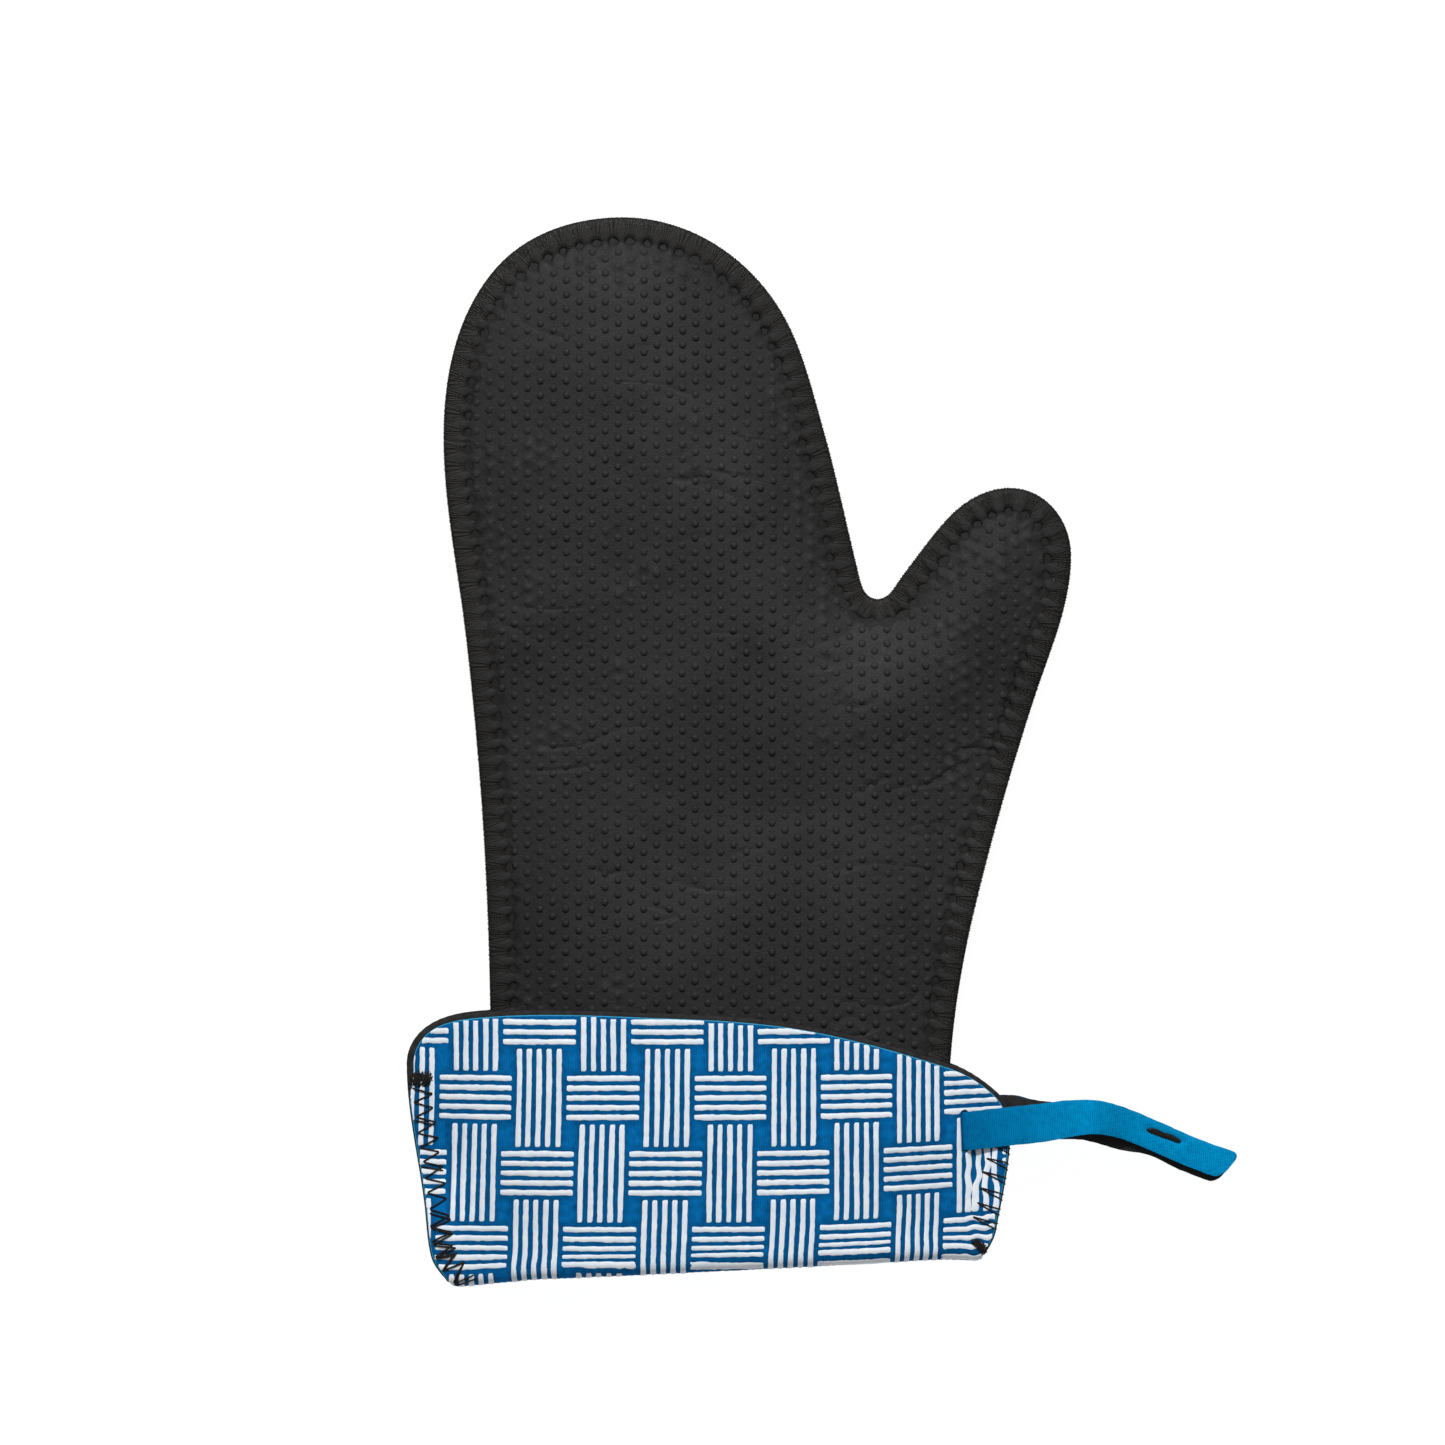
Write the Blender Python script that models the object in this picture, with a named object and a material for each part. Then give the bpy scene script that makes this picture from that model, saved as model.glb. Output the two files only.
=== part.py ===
"""A long neoprene oven mitt with a turned-up cuff and a hanging loop, lying flat on its back.

Frame: +X towards the thumb, +Y towards the fingertips, +Z up out of the palm face. The origin is under
the middle of the mitt, on the surface it lies on. Lengths here are millimetres; meshes are in metres.

Each of the two panels, palm and back, is a laminate of three sheets: a rubber skin outside, a neoprene
foam core and a jersey lining inside. A panel is drawn flat, in fold coordinates (s, q): s runs along
the cuff's fold line, q away from it. q above 0 is the hand, the next half turn is the fold, and the rest
is the flap, which lies back over the hand, lining outwards. panel_point() bends that flat pattern to
its shape in space. w is the height above the middle of the laminate, towards the rubber.
"""

import math

import bmesh
import bpy
import numpy as np
from mathutils import Vector
from mathutils.geometry import delaunay_2d_cdt

MM = 0.001
PALM, BACK = 1, -1

# Sheets of the laminate, from the lining out
LINING = 0.5
FOAM = 1.6
SKIN = 0.6
GAP = 0.3  # between neighbouring solids
LAMINATE = LINING + GAP + FOAM + GAP + SKIN

# Fold of the cuff
FOLD_TILT = math.radians(2.76)
FOLD_POINT = (-37.7, -183.4)
FOLD_RADIUS = 2.9  # of the laminate's middle
FOLD_ARC = math.pi * FOLD_RADIUS
FOLD_STEPS = 5

# Seam and room inside
NEEDLE = 8.5  # needle line, in from the cut edge
THREAD_PROUD = 0.8  # what the over-edge thread adds outside the cut edge
SWELL = {PALM: 9.0, BACK: 3.0}  # how far each panel stands off the seam plane
SWELL_REACH = {PALM: 42.0, BACK: 12.0}  # how far inside the needle line it does so fully
SEAM_Z_CUFF = 12.25
SEAM_Z_HAND = 6.95
SAG_START, SAG_END = 100.0, 172.0  # the seam plane comes down between these q

# Flap
FLAP_REACH = {PALM: 45.0, BACK: 25.0}
FLAP_SETTLE = 45.0  # past the fold, the flap's side edges have come down to the seam plane
SIDE_TOP_LEFT, SIDE_TOP_RIGHT = 78.0, 46.0  # where the side edges turn into the hem
EDGE_RISE_LEFT = 0.15  # edges sewn together
EDGE_RISE_RIGHT = 1.7  # edges left apart, so that the loop passes between them

# Slit in the palm flap, and the loop's strip
SLIT_PLAN = (50.0, -136.4)
SLIT_LENGTH, SLIT_WIDTH = 15.0, 2.9
STRIP_FOAM, STRIP_FACE, STRIP_GAP = 1.2, 0.5, 0.3
STRIP = STRIP_FOAM + STRIP_GAP + STRIP_FACE
STRIP_CLEARANCE = 0.8  # between the strip and the flap that it wraps
STRIP_WIDTH_ROOT, STRIP_WIDTH_TIP = 13.4, 11.2
HINGE_X = 76.0
HINGE_HALF_GAP = 2.8
TIP_X, TIP_SLANT = 149.4, 2.4  # the tip's cut is a little off square
EYE_START, EYE_END, EYE_SWELL = 79.0, 113.0, 5.0

# Hand outline over the thread, clockwise from the fold's left end: x, y, heading in degrees
HAND_KNOTS = [
    (-127.2, -186.5, 78), (-119.6, -100.0, 90.5), (-128.4, 40.0, 96.5), (-136.6, 113.0, 90),
    (-118.5, 173.0, 50), (-72.0, 192.3, 0), (-17.4, 162.5, -55), (0.6, 115.5, -74),
    (12.2, 68.0, -76), (19.6, 55.2, 0), (28.0, 63.2, 53), (43.9, 83.5, 48), (67.0, 95.2, 0),
    (89.4, 70.5, -90), (76.0, 18.7, -108), (55.4, -53.3, -104), (45.3, -125.0, -91),
    (54.0, -178.5, -72),
]
# Flap outline as it lies on the mitt, from the fold's right end, up, along the hem and down the left
FLAP_KNOTS = [
    (62.2, -171.0, 80), (67.4, -138.0, 88), (62.6, -121.6, 138), (45.0, -111.2, 164),
    (-22.3, -98.6, 172), (-65.0, -94.6, 177), (-121.3, -92.4, 184), (-142.4, -98.0, 215),
    (-149.7, -111.5, 270), (-143.3, -161.3, 278), (-140.4, -181.0, 284),
]

EDGE_STEP_MIN, HAND_STEP_MAX, FLAP_STEP_MAX, EDGE_SAG = 5.0, 17.0, 9.0, 0.45
LATTICE = 25.0

BLACK_RUBBER = (0.027, 0.026, 0.026, 1.0)
BLACK_FOAM = (0.022, 0.022, 0.023, 1.0)
BLACK_THREAD = (0.02, 0.018, 0.017, 1.0)
CUFF_BLUE = (0.0, 0.115, 0.34, 1.0)
LOOP_BLUE = (0.003, 0.21, 0.48, 1.0)


# ---------------------------------------------------------------- coordinates and edge lines

def to_fold(x, y):
    """Plan (x, y) to fold coordinates (s, t)."""
    dx, dy = x - FOLD_POINT[0], y - FOLD_POINT[1]
    c, n = math.cos(FOLD_TILT), math.sin(FOLD_TILT)
    return dx * c + dy * n, -dx * n + dy * c


def to_plan(s, t):
    """Fold coordinates (s, t) to plan (x, y)."""
    c, n = math.cos(FOLD_TILT), math.sin(FOLD_TILT)
    return FOLD_POINT[0] + s * c - t * n, FOLD_POINT[1] + s * n + t * c


def flat_knots():
    """All outline knots in the flat pattern: (s, q, heading in radians)."""
    knots = []
    for x, y, heading in HAND_KNOTS:
        s, t = to_fold(x, y)
        knots.append((s, t, math.radians(heading) - FOLD_TILT))
    for x, y, heading in FLAP_KNOTS:
        s, t = to_fold(x, y)
        knots.append((s, -FOLD_ARC - t, FOLD_TILT - math.radians(heading)))
    return knots


def smooth_edge(knots, step=1.0):
    """A closed line through the knots: cubics whose handles give a true arc between matching headings."""
    points = []
    for a, b in zip(knots, knots[1:] + knots[:1]):
        chord = math.dist(a[:2], b[:2])
        turn = math.remainder(b[2] - a[2], 2 * math.pi)
        handle = chord / (3 * math.cos(turn / 4) ** 2)
        p0, p3 = np.array(a[:2]), np.array(b[:2])
        p1 = p0 + handle * np.array([math.cos(a[2]), math.sin(a[2])])
        p2 = p3 - handle * np.array([math.cos(b[2]), math.sin(b[2])])
        f = np.linspace(0, 1, max(2, math.ceil(chord / step)), endpoint=False)[:, None]
        points.append(
            (1 - f) ** 3 * p0 + 3 * f * (1 - f) ** 2 * p1 + 3 * f * f * (1 - f) * p2 + f ** 3 * p3
        )
    return np.vstack(points)


def inward(line):
    """Unit normals of a clockwise closed line, pointing into the panel."""
    along = np.roll(line, -1, 0) - np.roll(line, 1, 0)
    along /= np.linalg.norm(along, axis=1)[:, None]
    return np.stack([along[:, 1], -along[:, 0]], 1)


def cut_edge():
    """The panels' cut edge in the flat pattern, inside the thread, closed and clockwise."""
    line = smooth_edge(flat_knots())
    return line + THREAD_PROUD * inward(line)


EDGE = cut_edge()
EDGE_IN = inward(EDGE)


def crossing(level, side):
    """Where the cut edge crosses q = level, on the left (side -1) or the right (side 1)."""
    q0, q1 = EDGE[:, 1], np.roll(EDGE, -1, 0)[:, 1]
    hits = np.nonzero((q0 - level) * (q1 - level) <= 0)[0]
    best = max(hits, key=lambda i: side * EDGE[i, 0])
    a, b = EDGE[best], EDGE[(best + 1) % len(EDGE)]
    f = (level - a[1]) / (b[1] - a[1])
    return best, a + f * (b - a)


def stretch(first, last):
    """Indices of the edge line from after first to last, going clockwise."""
    count = (last - first) % len(EDGE)
    return [(first + 1 + k) % len(EDGE) for k in range(count)]


def hand_stretch():
    return stretch(crossing(0, -1)[0], crossing(0, 1)[0])


def flap_stretch():
    return stretch(crossing(-FOLD_ARC, 1)[0], crossing(-FOLD_ARC, -1)[0])


def spread(indices, step_max):
    """Picks edge points so that chords stay close to the curve: short steps where it turns."""
    bend = np.abs(np.diff(np.unwrap(np.arctan2(EDGE_IN[indices, 1], EDGE_IN[indices, 0]))))
    length = np.linalg.norm(np.diff(EDGE[indices], axis=0), axis=1)
    curvature = np.convolve(bend / length, np.ones(5) / 5, mode="same")
    step = np.clip(np.sqrt(8 * EDGE_SAG / np.maximum(curvature, 1e-4)), EDGE_STEP_MIN, step_max)
    run = np.concatenate([[0], np.cumsum(length / step)])
    count = math.ceil(run[-1])
    marks = (np.arange(count) + 0.5) * run[-1] / count
    return [indices[int(np.searchsorted(run, m))] for m in marks]


# ---------------------------------------------------------------- shape of the panels in space

def ease(x):
    x = np.clip(x, 0, 1)
    return x * x * (3 - 2 * x)


def swell(x):
    """From 0 at the needle line to 1, rising at once and levelling off."""
    return 1 - (1 - np.clip(x, 0, 1)) ** 2


def seam_samples():
    """Points along the hand's sewn edge, carried on past the fold, and the length each stands for."""
    step = 3
    line = EDGE[hand_stretch()]
    ends = []
    for p, before in ((line[0], line[9]), (line[-1], line[-10])):
        out = (p - before) / np.linalg.norm(p - before)
        ends.append(p + out * step * np.arange(1, 30)[:, None])
    dense = np.vstack([ends[0][::-1], line[::step], ends[1]])
    length = np.linalg.norm(np.gradient(dense, axis=0), axis=1)
    return dense, length


SEAM, SEAM_LENGTH = seam_samples()
HAND_EDGE = EDGE[hand_stretch()]
FLAP_EDGE = EDGE[flap_stretch()]


def seam_distance(s, t):
    """Distance from the sewn edge, smoothed so that the ridge between two edges is rounded."""
    squared = (s[:, None] - SEAM[None, :, 0]) ** 2 + (t[:, None] - SEAM[None, :, 1]) ** 2
    total = (SEAM_LENGTH / np.maximum(squared, 0.25) ** 3).sum(1) * 8 / (3 * math.pi)
    return total ** -0.2


def band_width(t):
    """Left and right edge of the hand at t, for the part under the flap."""
    low = HAND_EDGE[HAND_EDGE[:, 1] < 130]
    left, right = low[low[:, 0] < 0], low[low[:, 0] > 0]
    left, right = left[np.argsort(left[:, 1])], right[np.argsort(right[:, 1])]
    return np.interp(t, left[:, 1], left[:, 0]), np.interp(t, right[:, 1], right[:, 0])


def flap_distance(s, n):
    """Distance in from the flap's nearer side edge; negative outside it."""
    height = -FOLD_ARC - FLAP_EDGE[:, 1]
    left = FLAP_EDGE[(height < SIDE_TOP_LEFT) & (FLAP_EDGE[:, 0] < 0)]
    right = FLAP_EDGE[(height < SIDE_TOP_RIGHT) & (FLAP_EDGE[:, 0] > 0)]
    left, right = left[np.argsort(-left[:, 1])], right[np.argsort(-right[:, 1])]
    s_left = np.interp(n, -FOLD_ARC - left[:, 1], left[:, 0])
    s_right = np.interp(n, -FOLD_ARC - right[:, 1], right[:, 0])
    return np.minimum(s - s_left, s_right - s)


def seam_height(t):
    return SEAM_Z_CUFF + (SEAM_Z_HAND - SEAM_Z_CUFF) * ease((t - SAG_START) / (SAG_END - SAG_START))


def body_offset(side, s, t):
    """Height of the hand's laminate middle over the seam plane."""
    inside = seam_distance(s, t) - NEEDLE
    left, right = band_width(t)
    inside = np.where((t < 110) & ((s < left) | (s > right)), 0, inside)
    return GAP / 2 + LAMINATE / 2 + SWELL[side] * swell(inside / SWELL_REACH[side])


def flap_offset(side, s, n):
    """Height of the flap's laminate middle over the seam plane."""
    over_body = body_offset(side, s, n) + 2 * FOLD_RADIUS
    settled = ease(n / FLAP_SETTLE)
    start = GAP / 2 + 2 * FOLD_RADIUS
    edge_end = EDGE_RISE_LEFT + (EDGE_RISE_RIGHT - EDGE_RISE_LEFT) * ease(s / 60 + 0.5)
    edge = start + (edge_end - start) * settled
    top = start + SWELL[side]
    free = edge + (top - edge) * swell((flap_distance(s, n) - NEEDLE) / FLAP_REACH[side])
    return over_body + (free + LAMINATE / 2 - over_body) * settled


def middle(side, s, q):
    """The laminate's middle surface in space."""
    s, q = np.atleast_1d(np.asarray(s, float)), np.atleast_1d(np.asarray(q, float))
    angle = np.clip(-q / FOLD_RADIUS, 0, math.pi)
    n = -q - FOLD_ARC
    t = np.where(q >= 0, q, np.where(n >= 0, n, -FOLD_RADIUS * np.sin(angle)))
    offset = body_offset(side, s, np.maximum(q, 0)) + FOLD_RADIUS * (1 - np.cos(angle))
    on_flap = n > 0
    if on_flap.any():
        offset[on_flap] = flap_offset(side, s[on_flap], n[on_flap])
    x, y = to_plan(s, t)
    return np.stack([x, y, seam_height(t) + side * offset], 1)


def panel_point(side, s, q, w):
    """A point w above the middle surface, towards the rubber."""
    s, q = np.atleast_1d(np.asarray(s, float)), np.atleast_1d(np.asarray(q, float))
    e = 0.3
    along_s = middle(side, s + e, q) - middle(side, s - e, q)
    along_q = middle(side, s, q + e) - middle(side, s, q - e)
    normal = side * np.cross(along_s, along_q)
    normal /= np.linalg.norm(normal, axis=1)[:, None]
    return middle(side, s, q) + np.reshape(w, (-1, 1)) * normal


def on_flap(x, y):
    """Plan point on the turned-up flap to its place in the flat pattern."""
    s, t = to_fold(x, y)
    return s, -FOLD_ARC - t


# ---------------------------------------------------------------- flat pattern

def slit_loop():
    """The slit in the palm flap as a clockwise loop of flat points."""
    s, q = on_flap(*SLIT_PLAN)
    a, b = SLIT_WIDTH / 2, SLIT_LENGTH / 2
    return [(s - a, q - b), (s - a, q), (s - a, q + b), (s + a, q + b), (s + a, q), (s + a, q - b)]


def nearest(points, line):
    """Distance from each point to the nearest point of a dense line."""
    gap = np.asarray(points)[:, None, :] - np.asarray(line)[None, :, :]
    return np.sqrt((gap ** 2).sum(2)).min(1)


def needle_line(indices):
    """Points on the needle line, one beside each edge point, where there is room for it."""
    ring = EDGE[indices] + NEEDLE * EDGE_IN[indices]
    keep = []
    for p in ring[nearest(ring, EDGE) > NEEDLE - 0.6]:
        if not keep or math.dist(p, keep[-1]) > 0.45 * EDGE_STEP_MIN:
            keep.append(p)
    return keep


def flat_pattern():
    """Vertices and triangles of one panel, the boundary loop, and the triangles that fill the slit."""
    rows = [-FOLD_ARC * k / FOLD_STEPS for k in range(FOLD_STEPS + 1)]
    hand, flap = spread(hand_stretch(), HAND_STEP_MAX), spread(flap_stretch(), FLAP_STEP_MAX)
    right = [crossing(level, 1)[1] for level in rows]
    left = [crossing(level, -1)[1] for level in rows]
    boundary = [*EDGE[hand], *right, *EDGE[flap], *reversed(left)]
    points = [tuple(p) for p in boundary]
    edges = [(i, (i + 1) % len(points)) for i in range(len(points))]

    def add_line(line, ends=(None, None)):
        first = len(points)
        points.extend(tuple(p) for p in line)
        chain = [*range(first, len(points))]
        chain = ([ends[0]] if ends[0] is not None else []) + chain
        chain += [ends[1]] if ends[1] is not None else []
        edges.extend(zip(chain, chain[1:]))

    row_line = []
    for k, level in enumerate(rows):
        a, b = left[k][0] + NEEDLE, right[k][0] - NEEDLE
        row = [(s, level) for s in np.linspace(a, b, 8)]
        add_line(row, (len(boundary) - 1 - k, len(hand) + k))
        row_line += row
    hand_needles = [p for p in needle_line(hand) if p[1] > 6]
    add_line(hand_needles)
    flap_line = EDGE[flap]
    for side in (1, -1):
        low = [i for i in flap if side * EDGE[i, 0] > 80 and EDGE[i, 1] > -FOLD_ARC - 80]
        low = [p for p in needle_line(low) if p[1] < -FOLD_ARC - 5]
        add_line(low)
        flap_line = np.vstack([flap_line, low])
    slit = slit_loop()
    bed = [(slit[3][0] + 4, slit[1][1] + b) for b in (-10, 0, 10)]
    points += bed
    first = len(points)
    points += slit
    edges += [(first + i, first + (i + 1) % len(slit)) for i in range(len(slit))]

    taken = np.vstack([EDGE, hand_needles, flap_line, row_line, slit, bed])
    lattice = [
        (i * LATTICE + (j % 2) * LATTICE / 2, j * LATTICE * math.sqrt(0.75))
        for i in range(-8, 9) for j in range(-6, 20)
    ]
    clear = nearest(lattice, taken) > 0.52 * LATTICE
    points += [p for p, ok in zip(lattice, clear) if ok]

    ring = list(range(len(boundary)))
    verts, _, faces, *_ = delaunay_2d_cdt([Vector(p) for p in points], edges, [ring], 1, 1e-5)
    faces = np.array(faces)
    used, numbers = np.unique(faces, return_inverse=True)
    verts, faces = np.array(verts)[used], numbers.reshape(faces.shape)
    middles = verts[faces].mean(1)
    low, high = np.min(slit, 0), np.max(slit, 0)
    in_slit = ((middles > low) & (middles < high)).all(1)
    return verts, faces, in_slit


# ---------------------------------------------------------------- Blender objects

def material(name, colour, roughness):
    found = bpy.data.materials.get(name) or bpy.data.materials.new(name)
    found.use_nodes = True
    shader = found.node_tree.nodes["Principled BSDF"]
    shader.inputs["Base Color"].default_value = colour
    shader.inputs["Roughness"].default_value = roughness
    shader.inputs["Metallic"].default_value = 0.0
    return found


def add_object(name, points, faces, finish, origin=(0, 0, 0), parent=None):
    """A closed mesh object from points in millimetres, its origin at the given place."""
    mesh = bpy.data.meshes.new(name)
    place = Vector(origin) * MM
    mesh.from_pydata([Vector(p) * MM - place for p in np.asarray(points).tolist()], [], faces)
    bm = bmesh.new()
    bm.from_mesh(mesh)
    bmesh.ops.recalc_face_normals(bm, faces=bm.faces)
    bm.to_mesh(mesh)
    bm.free()
    mesh.shade_smooth()
    mesh.set_sharp_from_angle(angle=math.radians(35))
    mesh.materials.append(finish)
    item = bpy.data.objects.new(name, mesh)
    bpy.context.scene.collection.objects.link(item)
    item.location = place
    item.parent = parent
    if parent:
        item.location = place - parent.location
    return item


def layer_solid(name, side, pattern, low, high, finish):
    """One sheet of a panel, between heights low and high of its laminate."""
    verts, faces, in_slit = pattern
    if side == PALM:
        faces = faces[~in_slit]
    count = len(verts)
    points = np.vstack([
        panel_point(side, verts[:, 0], verts[:, 1], low),
        panel_point(side, verts[:, 0], verts[:, 1], high),
    ])
    directed = {(f[i], f[(i + 1) % 3]) for f in faces for i in range(3)}
    rim = [(a, b) for a, b in directed if (b, a) not in directed]
    solid = [tuple(f + count) for f in faces] + [tuple(f[::-1]) for f in faces]
    solid += [(b, a, a + count, b + count) for a, b in sorted(rim)]
    return add_object(name, points, [tuple(int(i) for i in f) for f in solid], finish)


def swept_solid(name, sections, finish, **place):
    """A solid skinned over a row of equal closed sections, with flat ends."""
    sections = np.asarray(sections)
    rows, size = sections.shape[:2]
    faces = [
        (r * size + i, r * size + (i + 1) % size, (r + 1) * size + (i + 1) % size, (r + 1) * size + i)
        for r in range(rows - 1) for i in range(size)
    ]
    faces += [tuple(range(size)), tuple((rows - 1) * size + i for i in reversed(range(size)))]
    return add_object(name, sections.reshape(-1, 3), faces, finish, **place)


# ---------------------------------------------------------------- threads

THREAD = 0.4
ZIGZAG_PITCH = 5.6
ZIGZAG_DEPTH = 8.0
BARTACK_HEIGHT = 0.7


def perimeter_seam(finish):
    """The over-edge seam of the hand as one band: palm face, round the cut edge, back face."""
    indices = [i for i in spread(hand_stretch(), HAND_STEP_MAX) if EDGE[i, 1] > 9]
    face = LAMINATE / 2 + GAP
    sections = []
    for depth, w, side in (
        (NEEDLE - 0.5, face, PALM), (-GAP, face, PALM), (-GAP, face, BACK), (NEEDLE - 0.5, face, BACK),
        (NEEDLE - 0.5, face + THREAD, BACK), (-GAP - THREAD, face + THREAD, BACK),
        (-GAP - THREAD, face + THREAD, PALM), (NEEDLE - 0.5, face + THREAD, PALM),
    ):
        p = EDGE[indices] + depth * EDGE_IN[indices]
        sections.append(panel_point(side, p[:, 0], p[:, 1], w))
    swept_solid("perimeter_seam_thread", np.stack(sections, 1), finish)


def edge_place(indices, run, depth):
    """Flat point at a run along a stretch of the cut edge, at a depth in from it."""
    line, normal = EDGE[indices], EDGE_IN[indices]
    length = np.concatenate([[0], np.cumsum(np.linalg.norm(np.diff(line, axis=0), axis=1))])
    at = np.array([np.interp(run, length, line[:, k]) for k in (0, 1)])
    into = np.array([np.interp(run, length, normal[:, k]) for k in (0, 1)])
    return at + depth * into


def flap_side(side, n_low, n_high):
    """Indices of one flap side edge between two heights over the fold, from the fold up."""
    chosen = [
        i for i in flap_stretch()
        if side * EDGE[i, 0] > 80 and n_low <= -FOLD_ARC - EDGE[i, 1] <= n_high
    ]
    return sorted(chosen, key=lambda i: -EDGE[i, 1])


def zigzag(name, side, n_low, n_high, finish):
    """One thread that zigzags over both flaps' side edges."""
    indices = flap_side(side, n_low, n_high)
    length = np.linalg.norm(np.diff(EDGE[indices], axis=0), axis=1).sum()
    count = int(length // ZIGZAG_PITCH)
    face = -(LAMINATE / 2 + GAP + THREAD / 2)
    turn = 0.5
    route = []
    for k in range(count):
        run = (k + 0.5) * ZIGZAG_PITCH
        quarter = ZIGZAG_PITCH / 4
        for panel, centre in ((PALM, run), (BACK, run + 2 * quarter)):
            for shift, depth in (
                (-quarter, -GAP - THREAD), (-turn, ZIGZAG_DEPTH), (turn, ZIGZAG_DEPTH),
                (quarter, -GAP - THREAD),
            ):
                s, q = edge_place(indices, centre + shift, depth)
                route.append(panel_point(panel, s, q, face)[0])
    route = np.array(route)
    ahead = np.gradient(route, axis=0)
    ahead /= np.linalg.norm(ahead, axis=1)[:, None]
    half = THREAD / 2
    sections = []
    aside = np.array((0.3, 0.2, 1.0))
    for point, forward in zip(route, ahead):
        aside = aside - forward * (aside @ forward)
        aside /= np.linalg.norm(aside)
        other = np.cross(forward, aside)
        sections.append([point + half * a for a in (aside, other, -aside, -other)])
    swept_solid(name, sections, finish)


def flap_pad(name, x, y, length, width, turn, finish):
    """A bartack: a dense little block of stitches lying on the palm flap."""
    corners = [(-0.5, -0.5), (0.5, -0.5), (0.5, 0.5), (-0.5, 0.5)]
    c, n = math.cos(math.radians(turn)), math.sin(math.radians(turn))
    flat = np.array([
        on_flap(x + a * length * c - b * width * n, y + a * length * n + b * width * c)
        for a, b in corners
    ])
    low = -(LAMINATE / 2 + GAP + 0.15)
    sections = [panel_point(PALM, flat[:, 0], flat[:, 1], w) for w in (low, low - BARTACK_HEIGHT)]
    swept_solid(name, sections, finish)


# ---------------------------------------------------------------- hanging loop

def strip_y(x):
    """Plan middle line of the loop's front leg: out level, then bending down to the tip."""
    return -134.3 + 1.9 * math.sin((x - 76) * math.pi / 44) - 18.6 * float(ease((x - 93) / 84))


def leg_shift(x):
    """How far the back leg lies beside the front one: above it at the cuff, below it at the tip."""
    return 2.5 - 5.5 * float(ease((x - 76) / 34))


def loop_height(x):
    """Height of the meeting face of the two legs, from the hinge down to the tip."""
    far = (x - HINGE_X) / (TIP_X - HINGE_X)
    return 2.65 + (HINGE_Z - 2.65) * (1 - far) ** 1.8


def leg_offset(x):
    """Distance of a leg's middle from the meeting face: small at the hinge and the tip, wide at the eye."""
    across = np.clip((x - EYE_START) / (EYE_END - EYE_START), 0, 1)
    return STRIP / 2 + GAP / 2 + EYE_SWELL * math.sin(math.pi * across) ** 2


def strip_width(x):
    return STRIP_WIDTH_ROOT + (STRIP_WIDTH_TIP - STRIP_WIDTH_ROOT) * float(ease((x - 76) / 40))


HINGE_Z = SEAM_Z_CUFF + EDGE_RISE_RIGHT + LAMINATE / 2


def strip_sections(centres, across, low, high, slant=0.0):
    """Rectangles along a strip's middle line, between two heights; slant sets the last cut off square."""
    centres, across = np.array(centres), np.array(across)
    ahead = np.gradient(centres, axis=0)
    ahead /= np.linalg.norm(ahead, axis=1)[:, None]
    up = np.cross(ahead, across)
    up /= np.linalg.norm(up, axis=1)[:, None]
    upper, lower = centres + across, centres - across
    upper[-1] += slant * ahead[-1]
    lower[-1] -= slant * ahead[-1]
    return np.stack([upper + low * up, lower + low * up, lower + high * up, upper + high * up], 1)


def root_path():
    """The strip from the hinge over the flap, down through the slit and back under the flap."""
    slit_s, slit_q = on_flap(*SLIT_PLAN)
    rest = LAMINATE / 2 + STRIP_CLEARANCE + STRIP / 2
    join = STRIP / 2 + GAP / 2
    bend = 2.4
    hinge_s = to_fold(HINGE_X - HINGE_HALF_GAP, strip_y(HINGE_X))[0]
    edge_s = to_fold(68.5, -136.0)[0]
    leg = [(hinge_s, join)] + [(edge_s + f * (slit_s + bend - edge_s), rest) for f in (0, 0.35, 0.7)]
    corner = [
        (slit_s + bend - bend * math.sin(a), rest - bend + bend * math.cos(a))
        for a in np.radians([0, 30, 60, 90])
    ]
    half = leg + corner
    route = [(s, -w, 1) for s, w in half] + [(s, w, -1) for s, w in reversed(half)]
    points, across = [], []
    for s, w, leg_side in route:
        along = (s - slit_s) / (hinge_s - slit_s)
        drift = 2.6 * float(ease(along)) + (0 if leg_side > 0 else leg_shift(HINGE_X) * along)
        points.append(panel_point(PALM, s, slit_q - drift, w)[0])
        tilt = (-math.sin(FOLD_TILT), math.cos(FOLD_TILT), 0)
        across.append(np.array(tilt) * STRIP_WIDTH_ROOT / 2)
    return points, across


def leg_path(leg_side):
    """The free part of one leg, from the hinge to the tip."""
    points, across = [], []
    start = HINGE_X + HINGE_HALF_GAP
    end = TIP_X - TIP_SLANT - 1.8
    for x in np.linspace(start, end, 22):
        shift = 0 if leg_side > 0 else leg_shift(x)
        y = strip_y(x) + shift
        slope = (strip_y(x + 0.5) - strip_y(x - 0.5))
        side = np.array([-slope, 1, 0]) / math.hypot(slope, 1)
        points.append((x, y, loop_height(x) + leg_side * leg_offset(x)))
        across.append(side * strip_width(x) / 2)
    return points, across


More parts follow.
